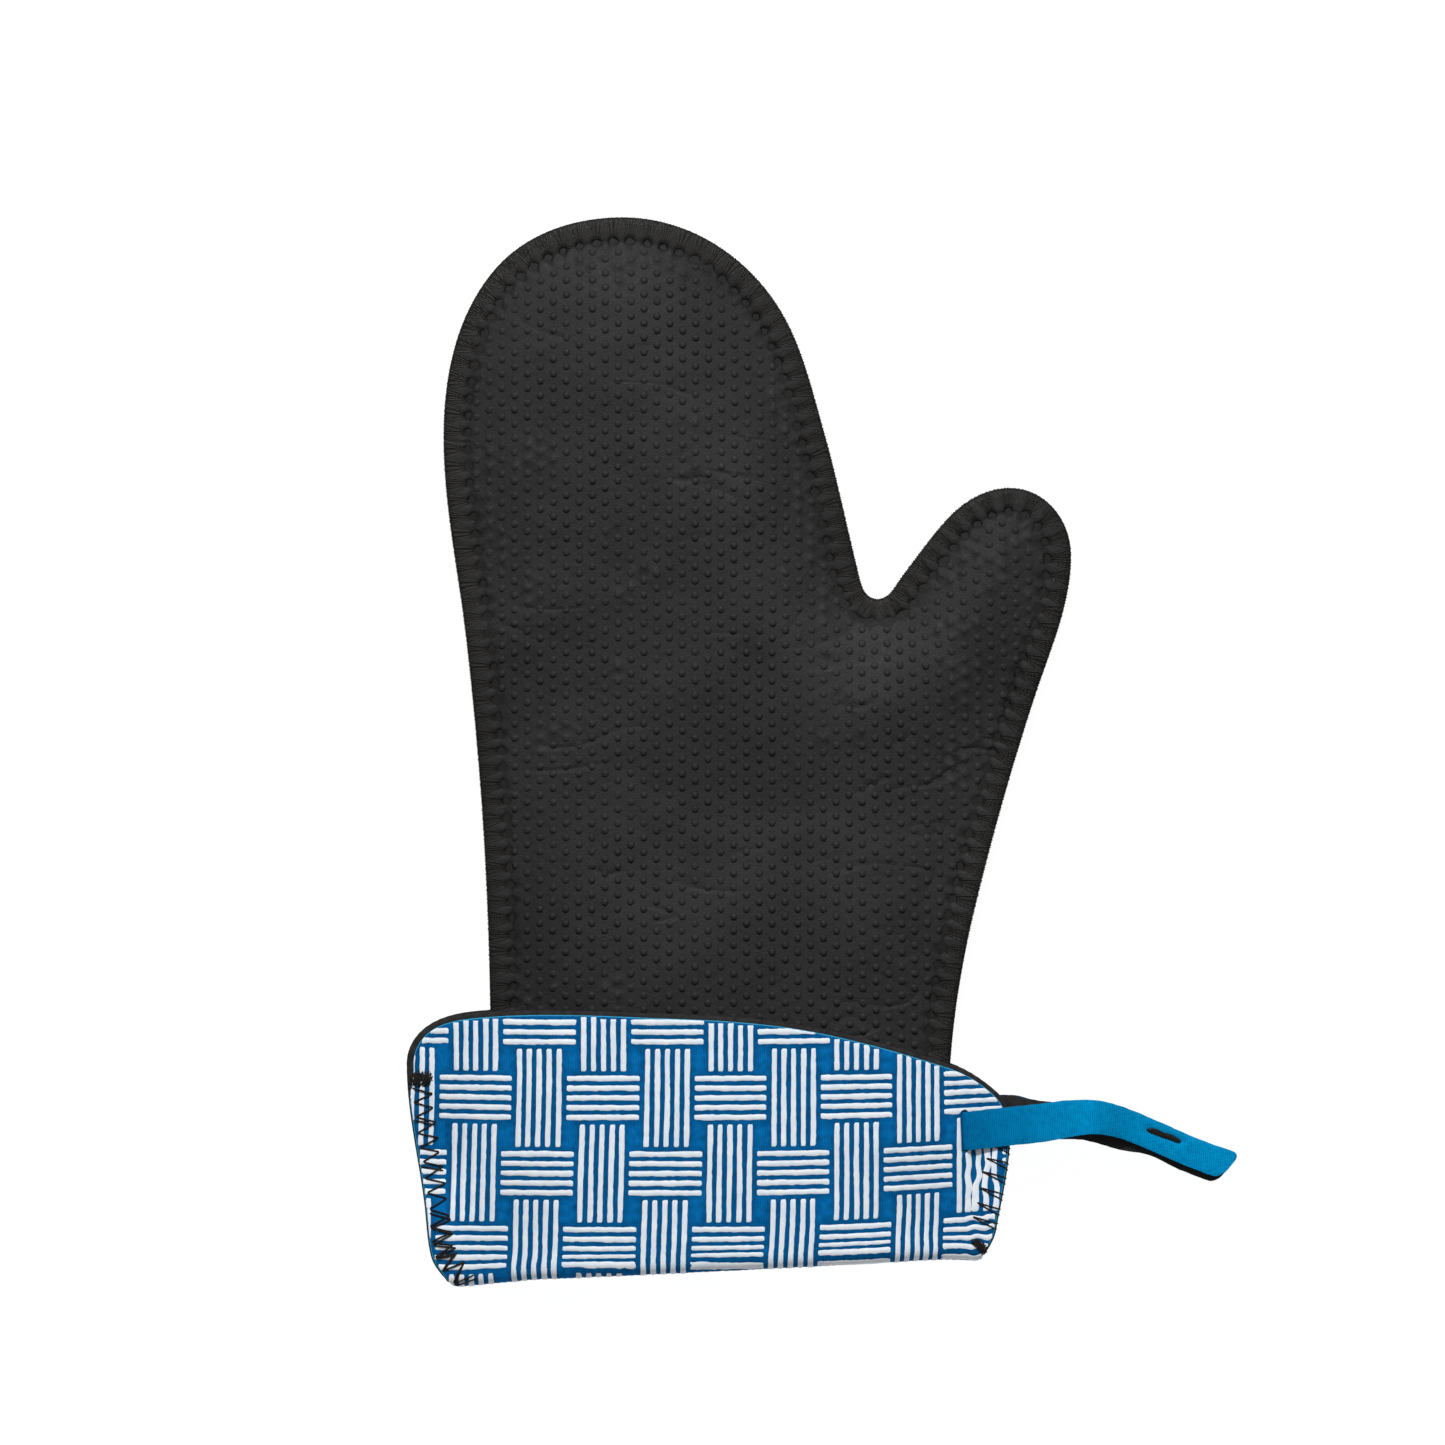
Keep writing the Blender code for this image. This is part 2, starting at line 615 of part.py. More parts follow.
def hanging_loop(foam, face, thread):
    """The loop: one strip, cut at the hinge line into the threaded root and two free legs."""
    hinge = (HINGE_X, strip_y(HINGE_X), HINGE_Z)
    pivot = bpy.data.objects.new("hanging_loop_pivot", None)
    pivot.location = Vector(hinge) * MM
    bpy.context.scene.collection.objects.link(pivot)
    inner = (-STRIP / 2, -STRIP / 2 + STRIP_FOAM)
    outer = (STRIP / 2 - STRIP_FACE, STRIP / 2)
    for part, finish, (low, high) in (("foam", foam, inner), ("face", face, outer)):
        points, across = root_path()
        swept_solid(f"loop_root_{part}", strip_sections(points, across, -high, -low), finish)
        for leg, leg_side in (("front", 1), ("back", -1)):
            points, across = leg_path(leg_side)
            ends = sorted((leg_side * low, leg_side * high))
            sections = strip_sections(points, across, *ends, slant=TIP_SLANT)
            swept_solid(f"loop_{leg}_{part}", sections, finish, origin=hinge, parent=pivot)
    loop_bartack(thread, hinge, pivot)


def loop_bartack(thread, hinge, pivot):
    """The bar of stitches across both legs near the tip, as it shows on the front leg."""
    sections = []
    for x in np.linspace(116.8, 129.2, 4):
        y, top = strip_y(x) + 0.8, loop_height(x) + leg_offset(x) + STRIP / 2 + GAP
        sections.append([(x, y - 1, top), (x, y + 1, top), (x, y + 1, top + 0.4), (x, y - 1, top + 0.4)])
    swept_solid("loop_bartack", sections, thread, origin=hinge, parent=pivot)


# ---------------------------------------------------------------- assembly

def clear_scene():
    for item in list(bpy.data.objects):
        bpy.data.objects.remove(item)


def build():
    clear_scene()
    rubber = material("black_rubber", BLACK_RUBBER, 0.62)
    foam = material("black_foam", BLACK_FOAM, 0.9)
    print_blue = material("printed_jersey", CUFF_BLUE, 0.85)
    thread = material("black_thread", BLACK_THREAD, 0.8)
    loop_blue = material("loop_jersey", LOOP_BLUE, 0.85)
    pattern = flat_pattern()
    half = LAMINATE / 2
    sheets = (
        ("rubber_skin", half - SKIN, half, rubber),
        ("foam", -half + LINING + GAP, half - SKIN - GAP, foam),
        ("lining", -half, -half + LINING, print_blue),
    )
    for panel, side in (("palm", PALM), ("back", BACK)):
        for sheet, low, high, finish in sheets:
            layer_solid(f"{panel}_{sheet}", side, pattern, low, high, finish)
    perimeter_seam(thread)
    zigzag("cuff_zigzag_left", -1, 7, 70, thread)
    zigzag("cuff_zigzag_right", 1, 10, 36, thread)
    flap_pad("bartack_left", -143.6, -117.0, 7.0, 5.0, 0, thread)
    flap_pad("bartack_right", 56.8, -177.6, 4.6, 3.4, 30, thread)
    hanging_loop(foam, loop_blue, thread)


build()
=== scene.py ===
"""Looks of the neoprene oven mitt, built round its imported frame.

Lengths in this script are millimetres and its meshes are in metres. Each panel is drawn flat in fold
coordinates (s, q), as the frame's panels are: s runs along the cuff's fold line and q away from it. q
above 0 is the hand, the next half turn is the fold, and the rest is the flap, which lies back over the
hand with its lining outwards. w is the height above the laminate's middle, towards the rubber.
"""

import math

import bmesh
import bpy
import numpy as np
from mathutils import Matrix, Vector
from mathutils.geometry import delaunay_2d_cdt


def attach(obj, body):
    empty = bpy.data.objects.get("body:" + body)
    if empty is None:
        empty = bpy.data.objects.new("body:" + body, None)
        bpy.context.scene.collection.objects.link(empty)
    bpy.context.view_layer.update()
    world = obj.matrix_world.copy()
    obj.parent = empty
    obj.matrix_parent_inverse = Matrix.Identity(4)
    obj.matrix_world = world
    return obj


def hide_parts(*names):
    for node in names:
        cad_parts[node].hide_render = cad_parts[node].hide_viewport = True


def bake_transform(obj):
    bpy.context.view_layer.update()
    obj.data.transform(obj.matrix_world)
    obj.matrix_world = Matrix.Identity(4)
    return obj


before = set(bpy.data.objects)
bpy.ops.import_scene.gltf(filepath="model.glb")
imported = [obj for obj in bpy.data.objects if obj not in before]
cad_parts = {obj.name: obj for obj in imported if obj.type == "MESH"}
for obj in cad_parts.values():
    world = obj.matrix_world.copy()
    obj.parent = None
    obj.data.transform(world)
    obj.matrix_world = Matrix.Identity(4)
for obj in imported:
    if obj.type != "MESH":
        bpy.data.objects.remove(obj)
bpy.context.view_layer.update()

MM = 0.001
PALM, BACK = 1, -1
SIDES = (("palm", PALM), ("back", BACK))
BATCH = 4000  # points compared at once, so that memory stays small

# The frame's own sizes
LINING, FOAM, SKIN, GAP = 0.5, 1.6, 0.6, 0.3
LAMINATE = LINING + GAP + FOAM + GAP + SKIN
HALF = LAMINATE / 2
FOLD_TILT = math.radians(2.76)
FOLD_POINT = (-37.7, -182.3)
FOLD_RADIUS = 2.9
FOLD_ARC = math.pi * FOLD_RADIUS
NEEDLE = 8.5
THREAD_PROUD = 0.8
SEAM_THREAD_RADIUS = 0.14
SWELL = {PALM: 9.0, BACK: 3.0}
SWELL_REACH = {PALM: 42.0, BACK: 12.0}
SEAM_Z_CUFF, SEAM_Z_HAND = 12.25, 6.95
SAG_START, SAG_END = 100.0, 172.0
FLAP_REACH = {PALM: 45.0, BACK: 25.0}
FLAP_SETTLE = 45.0
SIDE_TOP_LEFT, SIDE_TOP_RIGHT = 78.0, 46.0
EDGE_RISE_LEFT, EDGE_RISE_RIGHT = 0.15, 1.7
SLIT_PLAN = (50.0, -135.4)
SLIT_LENGTH, SLIT_WIDTH = 14.6, 2.5
HAND_KNOTS = [
    (-130.2, -185.6, 77), (-119.6, -100.0, 90.5), (-128.4, 40.0, 96.5), (-136.6, 113.0, 90),
    (-118.5, 173.0, 50), (-72.0, 192.3, 0), (-17.4, 162.5, -55), (0.6, 115.5, -74),
    (12.2, 68.0, -76), (19.6, 55.2, 0), (28.0, 63.2, 53), (43.9, 83.5, 48), (67.0, 95.2, 0),
    (89.4, 70.5, -90), (76.0, 18.7, -108), (55.4, -53.3, -104), (45.3, -125.0, -91),
    (54.0, -177.4, -72),
]
FLAP_KNOTS = [
    (62.2, -171.0, 80), (67.4, -138.0, 88), (62.6, -121.6, 138), (45.0, -111.0, 161),
    (-22.3, -94.9, 174), (-65.0, -92.5, 177.5), (-121.3, -92.4, 184), (-142.4, -98.0, 215),
    (-149.7, -111.5, 270), (-143.3, -161.3, 278), (-140.8, -180.3, 284),
]


# ---------------------------------------------------------------- the panels' shape

def to_fold(x, y):
    """Plan point to distance along the fold line and up from it."""
    dx, dy = x - FOLD_POINT[0], y - FOLD_POINT[1]
    c, n = math.cos(FOLD_TILT), math.sin(FOLD_TILT)
    return dx * c + dy * n, -dx * n + dy * c


def to_plan(s, t):
    """Distance along the fold line and up from it to plan point."""
    c, n = math.cos(FOLD_TILT), math.sin(FOLD_TILT)
    return FOLD_POINT[0] + s * c - t * n, FOLD_POINT[1] + s * n + t * c


def fraction(x):
    """x, kept between 0 and 1."""
    return np.clip(x, 0, 1)


def ease(x):
    """0 up to x = 0 and 1 from x = 1 on, with a smooth S between."""
    x = fraction(x)
    return x * x * (3 - 2 * x)


def swell(x):
    """0 up to x = 0 and 1 from x = 1 on, with a quick start and a smooth end."""
    return 1 - (1 - fraction(x)) ** 2


def rounded(depth, width):
    """Height of a round edge: 0 at the edge and 1 from a width in from it."""
    return np.sqrt(fraction(swell(depth / width)))


def bell(x, width, power=2):
    """1 at x = 0, falling towards 0 beyond a width on either side."""
    return np.exp(-(x / width) ** power)


def unit(vectors):
    """Each row of an array, scaled to length 1."""
    return vectors / np.linalg.norm(vectors, axis=1)[:, None]


def run_lengths(line):
    """Distance run along a line of points, from 0 at its start."""
    return np.concatenate([[0], np.cumsum(np.linalg.norm(np.diff(line, axis=0), axis=1))])


def at_marks(marks, lengths, line):
    """Points of a line, or values that go with it, at given distances along it."""
    return np.stack([np.interp(marks, lengths, values) for values in line.T], -1)


def on_flap(x, y):
    """Plan point on the turned-up flap to its place in the flat pattern."""
    s, t = to_fold(x, y)
    return s, -FOLD_ARC - t


def smooth_edge(step=0.5):
    """The flat outline over the thread, closed and clockwise: cubics that are arcs where headings match."""
    knots = []
    for x, y, heading in HAND_KNOTS:
        knots.append((*to_fold(x, y), math.radians(heading) - FOLD_TILT))
    for x, y, heading in FLAP_KNOTS:
        knots.append((*on_flap(x, y), FOLD_TILT - math.radians(heading)))
    points = []
    for a, b in zip(knots, knots[1:] + knots[:1]):
        chord = math.dist(a[:2], b[:2])
        turn = math.remainder(b[2] - a[2], 2 * math.pi)
        handle = chord / (3 * math.cos(turn / 4) ** 2)
        p0, p3 = np.array(a[:2]), np.array(b[:2])
        p1 = p0 + handle * np.array([math.cos(a[2]), math.sin(a[2])])
        p2 = p3 - handle * np.array([math.cos(b[2]), math.sin(b[2])])
        f = np.linspace(0, 1, max(2, math.ceil(chord / step)), endpoint=False)[:, None]
        points.append(
            (1 - f) ** 3 * p0 + 3 * f * (1 - f) ** 2 * p1 + 3 * f * f * (1 - f) * p2 + f ** 3 * p3
        )
    return np.vstack(points)


def inward(line):
    """Unit normals of the closed outline, into the panel."""
    along = unit(np.roll(line, -2, 0) - np.roll(line, 2, 0))
    return np.stack([along[:, 1], -along[:, 0]], 1)


def cut_edge():
    """The cloth's own outline, under the seam's thread."""
    line = smooth_edge()
    return line + THREAD_PROUD * inward(line)


EDGE = cut_edge()
EDGE_IN = inward(EDGE)
PUSHED_OUT = 0.35  # the stitched edge is squeezed outwards between the threads
RIM = EDGE - PUSHED_OUT * EDGE_IN


def edge_run(choose):
    """The unbroken run of edge indices where choose(s, q) holds, in clockwise order."""
    kept = choose(EDGE[:, 0], EDGE[:, 1])
    start = int(np.nonzero(kept & ~np.roll(kept, 1))[0][0])
    order = (start + np.arange(len(EDGE))) % len(EDGE)
    return order[: int(np.argmin(kept[order]))] if not kept[order].all() else order


HAND_RUN = edge_run(lambda s, q: q >= 0)
LEFT_RUN = edge_run(lambda s, q: (s < -80) & (q <= -FOLD_ARC) & (q > -FOLD_ARC - SIDE_TOP_LEFT))
RIGHT_RUN = edge_run(lambda s, q: (s > 80) & (q <= -FOLD_ARC) & (q > -FOLD_ARC - SIDE_TOP_RIGHT))


def soft_start(d, late, round_off):
    """A distance that starts to count gently: about 0 below 0 and d - late well above it."""
    return 0.5 * (d - late + np.sqrt((d - late) ** 2 + round_off ** 2))


def seam_samples():
    """Points along the hand's sewn edge, carried on past the fold, and the length each stands for."""
    step = 6
    line = EDGE[HAND_RUN]
    ends = []
    for p, before in ((line[0], line[18]), (line[-1], line[-19])):
        out = (p - before) / np.linalg.norm(p - before)
        ends.append(p + out * 3 * np.arange(1, 30)[:, None])
    dense = np.vstack([ends[0][::-1], line[::step], ends[1]])
    return dense, np.linalg.norm(np.gradient(dense, axis=0), axis=1)


SEAM, SEAM_LENGTH = seam_samples()


def seam_distance(s, t):
    """Soft distance from the sewn edge: true beside a straight one, and a little less in a corner."""
    squared = (s[:, None] - SEAM[None, :, 0]) ** 2 + (t[:, None] - SEAM[None, :, 1]) ** 2
    np.maximum(squared, 0.25, out=squared)
    total = (SEAM_LENGTH / (squared * squared * squared)).sum(1) * 8 / (3 * math.pi)
    return total ** -0.2


def side_lines():
    """Left and right edges as (height, s) tables: of the hand up to the crotch, and of the flap."""
    tables = []
    hand = EDGE[HAND_RUN]
    low = hand[hand[:, 1] < 130]
    for line in (low[low[:, 0] < 0], low[low[:, 0] > 0]):
        order = np.argsort(line[:, 1])
        tables.append((line[order, 1], line[order, 0]))
    for run in (LEFT_RUN, RIGHT_RUN):
        line = EDGE[run]
        order = np.argsort(-line[:, 1])
        tables.append((-FOLD_ARC - line[order, 1], line[order, 0]))
    return tables


HAND_LEFT, HAND_RIGHT, FLAP_LEFT, FLAP_RIGHT = side_lines()


def seam_height(t):
    """Height of the seam plane, which sinks from the cuff towards the fingertips."""
    return SEAM_Z_CUFF + (SEAM_Z_HAND - SEAM_Z_CUFF) * ease((t - SAG_START) / (SAG_END - SAG_START))


def swollen_exactly(s, t):
    """Distance inside the hand's needle line with a gentle start, about 0 outside it."""
    inside = seam_distance(s, t) - NEEDLE
    beyond = np.maximum(np.interp(t, *HAND_LEFT) - s, s - np.interp(t, *HAND_RIGHT))
    inside = np.where((t < 110) & (beyond > 0), -NEEDLE - beyond, inside)
    return soft_start(inside, 1.5, 6.0)


TABLE_LOW, TABLE_HIGH, TABLE_STEP = (-150.0, 0.0), (150.0, 400.0), 1.0


def swell_table():
    """The distance inside the needle line over a grid, worked out once."""
    s = np.arange(TABLE_LOW[0], TABLE_HIGH[0] + 1, TABLE_STEP)
    t = np.arange(TABLE_LOW[1], TABLE_HIGH[1] + 1, TABLE_STEP)
    return np.stack([swollen_exactly(s, np.full(len(s), level)) for level in t], 1)


TABLE = swell_table()


def swollen(s, t):
    """The same distance, read from the table."""
    u = np.clip((s - TABLE_LOW[0]) / TABLE_STEP, 0, TABLE.shape[0] - 1.001)
    v = np.clip((t - TABLE_LOW[1]) / TABLE_STEP, 0, TABLE.shape[1] - 1.001)
    i, j = u.astype(int), v.astype(int)
    f, g = u - i, v - j
    low = TABLE[i, j] * (1 - f) + TABLE[i + 1, j] * f
    high = TABLE[i, j + 1] * (1 - f) + TABLE[i + 1, j + 1] * f
    return low * (1 - g) + high * g


def noise(points, size, seed):
    """Smooth value noise from -1 to 1 at points in the plane, with features of about size."""
    rng = np.random.default_rng(seed)
    grid = rng.uniform(-1, 1, (64, 64))
    u = np.asarray(points, float) / size + 1000.0
    cell = np.floor(u).astype(int)
    f = u - cell
    f = f * f * (3 - 2 * f)
    i, j = cell[:, 0] % 64, cell[:, 1] % 64
    i1, j1 = (i + 1) % 64, (j + 1) % 64
    low = grid[i, j] * (1 - f[:, 0]) + grid[i1, j] * f[:, 0]
    high = grid[i, j1] * (1 - f[:, 0]) + grid[i1, j1] * f[:, 0]
    return low * (1 - f[:, 1]) + high * f[:, 1]


def row_noise(run, level, size, seed):
    """Noise along a line of its own, read at distances run."""
    return noise(np.stack([run, np.full_like(run, level)], 1), size, seed)


def rumple(side, s, q, inside):
    """How far the padded panel is out of its even shape: soft dents above the cuff, faint ones on it."""
    spots = np.stack([s, q * 1.35], 1)
    broad = 0.5 * noise(spots, 31.0, 71 + side) + 0.3 * noise(spots, 12.0, 75 + side)
    cuff = 0.22 * noise(spots, 17.0, 79 + side)
    return broad * ease((q - 75) / 35) * ease(inside / 22) + cuff * ease((-q - FOLD_ARC - 8) / 20)


def fold_bow(s, t):
    """How far the fold line is drawn up towards the fingers between the mitt's two sides."""
    return 1.6 * ease((s + 95) / 35) * ease((100 - s) / 26) * bell(t, 16)


def middle(side, s, q):
    """The laminate's middle surface in space."""
    angle = np.clip(-q / FOLD_RADIUS, 0, math.pi)
    n = -q - FOLD_ARC
    t = np.where(q >= 0, q, np.where(n >= 0, n, -FOLD_RADIUS * np.sin(angle)))
    inside = swollen(s, np.where(q >= 0, q, np.maximum(n, 0)))
    body = GAP / 2 + HALF + SWELL[side] * swell(inside / SWELL_REACH[side])
    offset = body + FOLD_RADIUS * (1 - np.cos(angle))
    settled = ease(n / FLAP_SETTLE)
    start = GAP / 2 + 2 * FOLD_RADIUS
    edge_end = EDGE_RISE_LEFT + (EDGE_RISE_RIGHT - EDGE_RISE_LEFT) * ease(s / 60 + 0.5)
    edge = start + (edge_end - start) * settled
    inset = np.minimum(s - np.interp(n, *FLAP_LEFT), np.interp(n, *FLAP_RIGHT) - s)
    raised = swell(soft_start(inset - NEEDLE, 1.0, 5.0) / FLAP_REACH[side])
    free = edge + (start + SWELL[side] - edge) * raised
    over = body + 2 * FOLD_RADIUS
    offset = np.where(n > 0, over + (free + HALF - over) * settled, offset)
    offset = offset + rumple(side, s, q, inside)
    x, y = to_plan(s, t + fold_bow(s, t))
    return np.stack([x, y, seam_height(t) + side * offset], 1)


def panel_frame(side, s, q):
    """Points of the middle surface and the unit normals there, towards the rubber."""
    e = 0.8
    along_s = middle(side, s + e, q) - middle(side, s - e, q)
    along_q = middle(side, s, q + e) - middle(side, s, q - e)
    return middle(side, s, q), unit(side * np.cross(along_s, along_q))


def panel_point(side, s, q, w):
    """Points of a panel in space, w above its middle towards the rubber."""
    s, q = np.atleast_1d(np.asarray(s, float)), np.atleast_1d(np.asarray(q, float))
    points, normal = panel_frame(side, s, q)
    return points + np.reshape(w, (-1, 1)) * normal


# ---------------------------------------------------------------- meshes

def add_mesh(name, points, faces, finish, shade=None, smooth_angle=40):
    """A mesh piece from points in millimetres; shade darkens each vertex where it is below 1."""
    mesh = bpy.data.meshes.new(name)
    points = np.asarray(points, np.float32) * MM
    sizes = np.array([len(f) for f in faces], np.int32)
    corners = np.concatenate([np.asarray(f, np.int32) for f in faces]) if len(faces) else []
    mesh.vertices.add(len(points))
    mesh.vertices.foreach_set("co", points.ravel())
    mesh.loops.add(len(corners))
    mesh.loops.foreach_set("vertex_index", corners)
    mesh.polygons.add(len(sizes))
    mesh.polygons.foreach_set("loop_start", np.concatenate([[0], np.cumsum(sizes)[:-1]]).astype(np.int32))
    mesh.polygons.foreach_set("loop_total", sizes)
    mesh.update(calc_edges=True)
    mesh.validate()
    if shade is not None:
        layer = mesh.attributes.new("shade", "FLOAT", "POINT")
        layer.data.foreach_set("value", np.asarray(shade, np.float32))
    mesh.shade_smooth()
    mesh.set_sharp_from_angle(angle=math.radians(smooth_angle))
    mesh.materials.append(finish)
    item = bpy.data.objects.new(name, mesh)
    bpy.context.scene.collection.objects.link(item)
    return item


def triangulate(outline, points, holes=(), rows=()):
    """Triangles over the inside of an outline through all the points, with holes left open."""
    every = [tuple(p) for p in outline]
    edges = [(i, (i + 1) % len(every)) for i in range(len(every))]
    for hole in holes:
        first = len(every)
        every += [tuple(p) for p in hole]
        edges += [(first + i, first + (i + 1) % len(hole)) for i in range(len(hole))]
    for row in rows:
        first = len(every)
        every += [tuple(p) for p in row]
        edges += [(first + i, first + i + 1) for i in range(len(row) - 1)]
    every += [tuple(p) for p in points]
    verts, _, faces, *_ = delaunay_2d_cdt(
        [Vector(p) for p in every], edges, [list(range(len(outline)))], 1, 1e-5
    )
    faces = np.array(faces)
    verts = np.array(verts)
    for hole in holes:
        low, high = np.min(hole, 0), np.max(hole, 0)
        centre = verts[faces].mean(1)
        faces = faces[~((centre > low) & (centre < high)).all(1)]
    used, numbers = np.unique(faces, return_inverse=True)
    return verts[used], numbers.reshape(faces.shape)


def rim_edges(faces, count):
    """The edges that only one triangle has, each in that triangle's direction."""
    pairs = np.concatenate([faces[:, [0, 1]], faces[:, [1, 2]], faces[:, [2, 0]]])
    keys = pairs[:, 0].astype(np.int64) * count + pairs[:, 1]
    return pairs[~np.isin(keys, pairs[:, 1].astype(np.int64) * count + pairs[:, 0])]


def ring_faces(rows, size, first=0):
    """Faces of a tube made of rings: its sides row by row, then its two ends."""
    k = np.arange(size)
    faces = []
    for a in range(first, first + (rows - 1) * size, size):
        faces.extend(np.stack([a + k, a + (k + 1) % size, a + size + (k + 1) % size, a + size + k], 1))
    faces.append(first + k[::-1])
    faces.append(first + (rows - 1) * size + k)
    return faces


def closed_sheet(name, side, top, low, partner, finish, shade=None, smooth_angle=40):
    """A sheet from its two faces, each flat points, triangles and heights, with walls round their edges.

    partner numbers the low face's point under each point of the top face's outline.
    """
    count = len(top[0])
    points, turned = [], []
    for flat, faces, height in (top, low):
        centres, normal = panel_frame(side, *flat.T)
        points.append(centres + np.broadcast_to(height, len(flat))[:, None] * normal)
        turned.append(faces if side == PALM else faces[:, ::-1])
    rim = rim_edges(turned[0], count)
    under = np.asarray(partner)[rim] + count
    walls = np.stack([rim[:, 1], rim[:, 0], under[:, 0], under[:, 1]], 1)
    solid = [*turned[0], *(turned[1][:, ::-1] + count), *walls]
    return add_mesh(name, np.vstack(points), solid, finish, shade, smooth_angle)


def sheet_solid(name, side, flat, faces, low, high, finish, pulled=0.0, shade=None):
    """A closed sheet over one flat triangulation, between two heights; pulled moves its low face sideways."""
    top, under = (flat, faces, high), (flat + pulled, faces, low)
    shades = None if shade is None else np.tile(shade, 2)
    return closed_sheet(name, side, top, under, range(len(flat)), finish, shades)


def closest(points, line):
    """Distance from each point to the nearest point of a dense line, and which one that is."""
    points, line = np.asarray(points), np.asarray(line)
    distance, which = np.empty(len(points)), np.empty(len(points), int)
    for start in range(0, len(points), BATCH):
        part = points[start:start + BATCH]
        gap = (part[:, None, 0] - line[None, :, 0]) ** 2 + (part[:, None, 1] - line[None, :, 1]) ** 2
        best = gap.argmin(1)
        which[start:start + BATCH] = best
        distance[start:start + BATCH] = np.sqrt(gap[np.arange(len(part)), best])
    return distance, which


def nearest(points, line):
    """Distance from each point to the nearest point of a dense line."""
    return closest(points, line)[0]


def inside_edge(points):
    """Whether each flat point is inside the cut edge, by counting crossings."""
    points = np.asarray(points)
    a, b = EDGE[::4], np.roll(EDGE[::4], -1, 0)
    result = np.zeros(len(points), bool)
    for p0, p1 in zip(a, b):
        crosses = (p0[1] > points[:, 1]) != (p1[1] > points[:, 1])
        if crosses.any():
            at = p0[0] + (points[:, 1] - p0[1]) / (p1[1] - p0[1]) * (p1[0] - p0[0])
            result ^= crosses & (points[:, 0] < at)
    return result


def edge_spot(run, mark, depth):
    """Flat points at given distances along a run of the edge and given depths in from it."""
    lengths = run_lengths(EDGE[run])
    into = at_marks(mark, lengths, EDGE_IN[run])
    return at_marks(mark, lengths, EDGE[run]) + np.asarray(depth)[..., None] * into


def along(run, spacing, depth):
    """Flat points at equal steps along a run of the edge, at a depth in from it."""
    length = run_lengths(EDGE[run])[-1]
    marks = np.linspace(0, length, max(2, round(length / spacing)) + 1)
    return edge_spot(run, marks, depth)


def lattice(spacing, low, high):
    """A triangular lattice over a rectangle."""
    rows = np.arange(math.floor(low[1] / (spacing * 0.866)), math.ceil(high[1] / (spacing * 0.866)))
    columns = np.arange(math.floor(low[0] / spacing), math.ceil(high[0] / spacing))
    j, i = np.meshgrid(rows, columns, indexing="ij")
    return np.stack([(i + (j % 2) / 2) * spacing, j * spacing * 0.866], -1).reshape(-1, 2)


def tubes(paths, radius, sides=6):
    """Vertices and faces of round threads along paths; each path is an array of points."""
    verts, faces, first = [], [], 0
    turn = np.linspace(0, 2 * math.pi, sides, endpoint=False)
    for path in paths:
        path = np.asarray(path)
        ahead = np.gradient(path, axis=0)
        ahead /= np.maximum(np.linalg.norm(ahead, axis=1), 1e-9)[:, None]
        side_way = np.zeros_like(ahead)
        last = np.cross(ahead[0], (0.31, 0.17, 0.93))
        for k, forward in enumerate(ahead):
            last = last - forward * (last @ forward)
            last /= max(np.linalg.norm(last), 1e-9)
            side_way[k] = last
        other = np.cross(ahead, side_way)
        spoke = np.cos(turn)[:, None] * side_way[:, None] + np.sin(turn)[:, None] * other[:, None]
        ring = path[:, None] + radius * spoke
        verts.append(ring.reshape(-1, 3))
        faces.extend(ring_faces(len(path), sides, first))
        first += len(path) * sides
    return np.vstack(verts), faces


# ---------------------------------------------------------------- finishes

BLACK = (0.0006, 0.0006, 0.0006)
WAVE_BAND = 2 * math.pi / 20  # how wide a wave texture's bands are at scale 1


def principled(name, base, roughness, specular):
    """A node material, ways to add a node and to join one to its shader, and the object's coordinates."""
    made = bpy.data.materials.new(name)
    made.use_nodes = True
    made.diffuse_color = (*base, 1.0)
    nodes, links = made.node_tree.nodes, made.node_tree.links
    shader = nodes["Principled BSDF"]
    shader.inputs["Base Color"].default_value = (*base, 1.0)
    shader.inputs["Roughness"].default_value = roughness
    shader.inputs["Specular IOR Level"].default_value = specular
    place = nodes.new("ShaderNodeTexCoord").outputs["Object"]

    def add(kind, out, inputs=(), **settings):
        node = nodes.new("ShaderNode" + kind)
        for key, value in settings.items():
            setattr(node, key, value)
        for key, value in dict(inputs).items():
            if isinstance(value, bpy.types.NodeSocket):
                links.new(value, node.inputs[key])
            else:
                node.inputs[key].default_value = value
        return node.outputs[out]

    def join(value, key):
        links.new(value, shader.inputs[key])

    return made, add, join, place


def ramp(add, value, low, high):
    """Maps a grey value so that low becomes 0 and high becomes 1."""
    return add("MapRange", "Result", {"Value": value, "From Min": low, "From Max": high})


def tint(add, factor, first, second):
    """Colour between two, by a factor; each is a plain colour or a socket."""
    first, second = (c if isinstance(c, bpy.types.NodeSocket) else (*c, 1.0) for c in (first, second))
    return add("Mix", 2, {0: factor, 6: first, 7: second}, data_type="RGBA")


def darkened(add, colour, dark=BLACK):
    """A colour that turns to a dark one where the vertices' shade falls to 0."""
    return tint(add, add("Attribute", "Fac", attribute_name="shade"), dark, colour)


def maths(add, operation, *values):
    """A Math node's result for its values."""
    return add("Math", 0, dict(enumerate(values)), operation=operation)


def noise_node(add, place, size, detail=4.0, rough=0.5):
    """Noise with features of a size in millimetres."""
    inputs = {"Vector": place, "Scale": 1 / (size * MM), "Detail": detail, "Roughness": rough}
    return add("TexNoise", "Fac", inputs)


def wave(add, place, width, axis, wobble, detail=2.0, detail_scale=1.0):
    """Unsteady bands of a width in millimetres along an axis."""
    inputs = {"Vector": place, "Scale": WAVE_BAND / (width * MM), "Distortion": wobble}
    inputs.update({"Detail": detail, "Detail Scale": detail_scale})
    return add("TexWave", "Fac", inputs, bands_direction=axis)


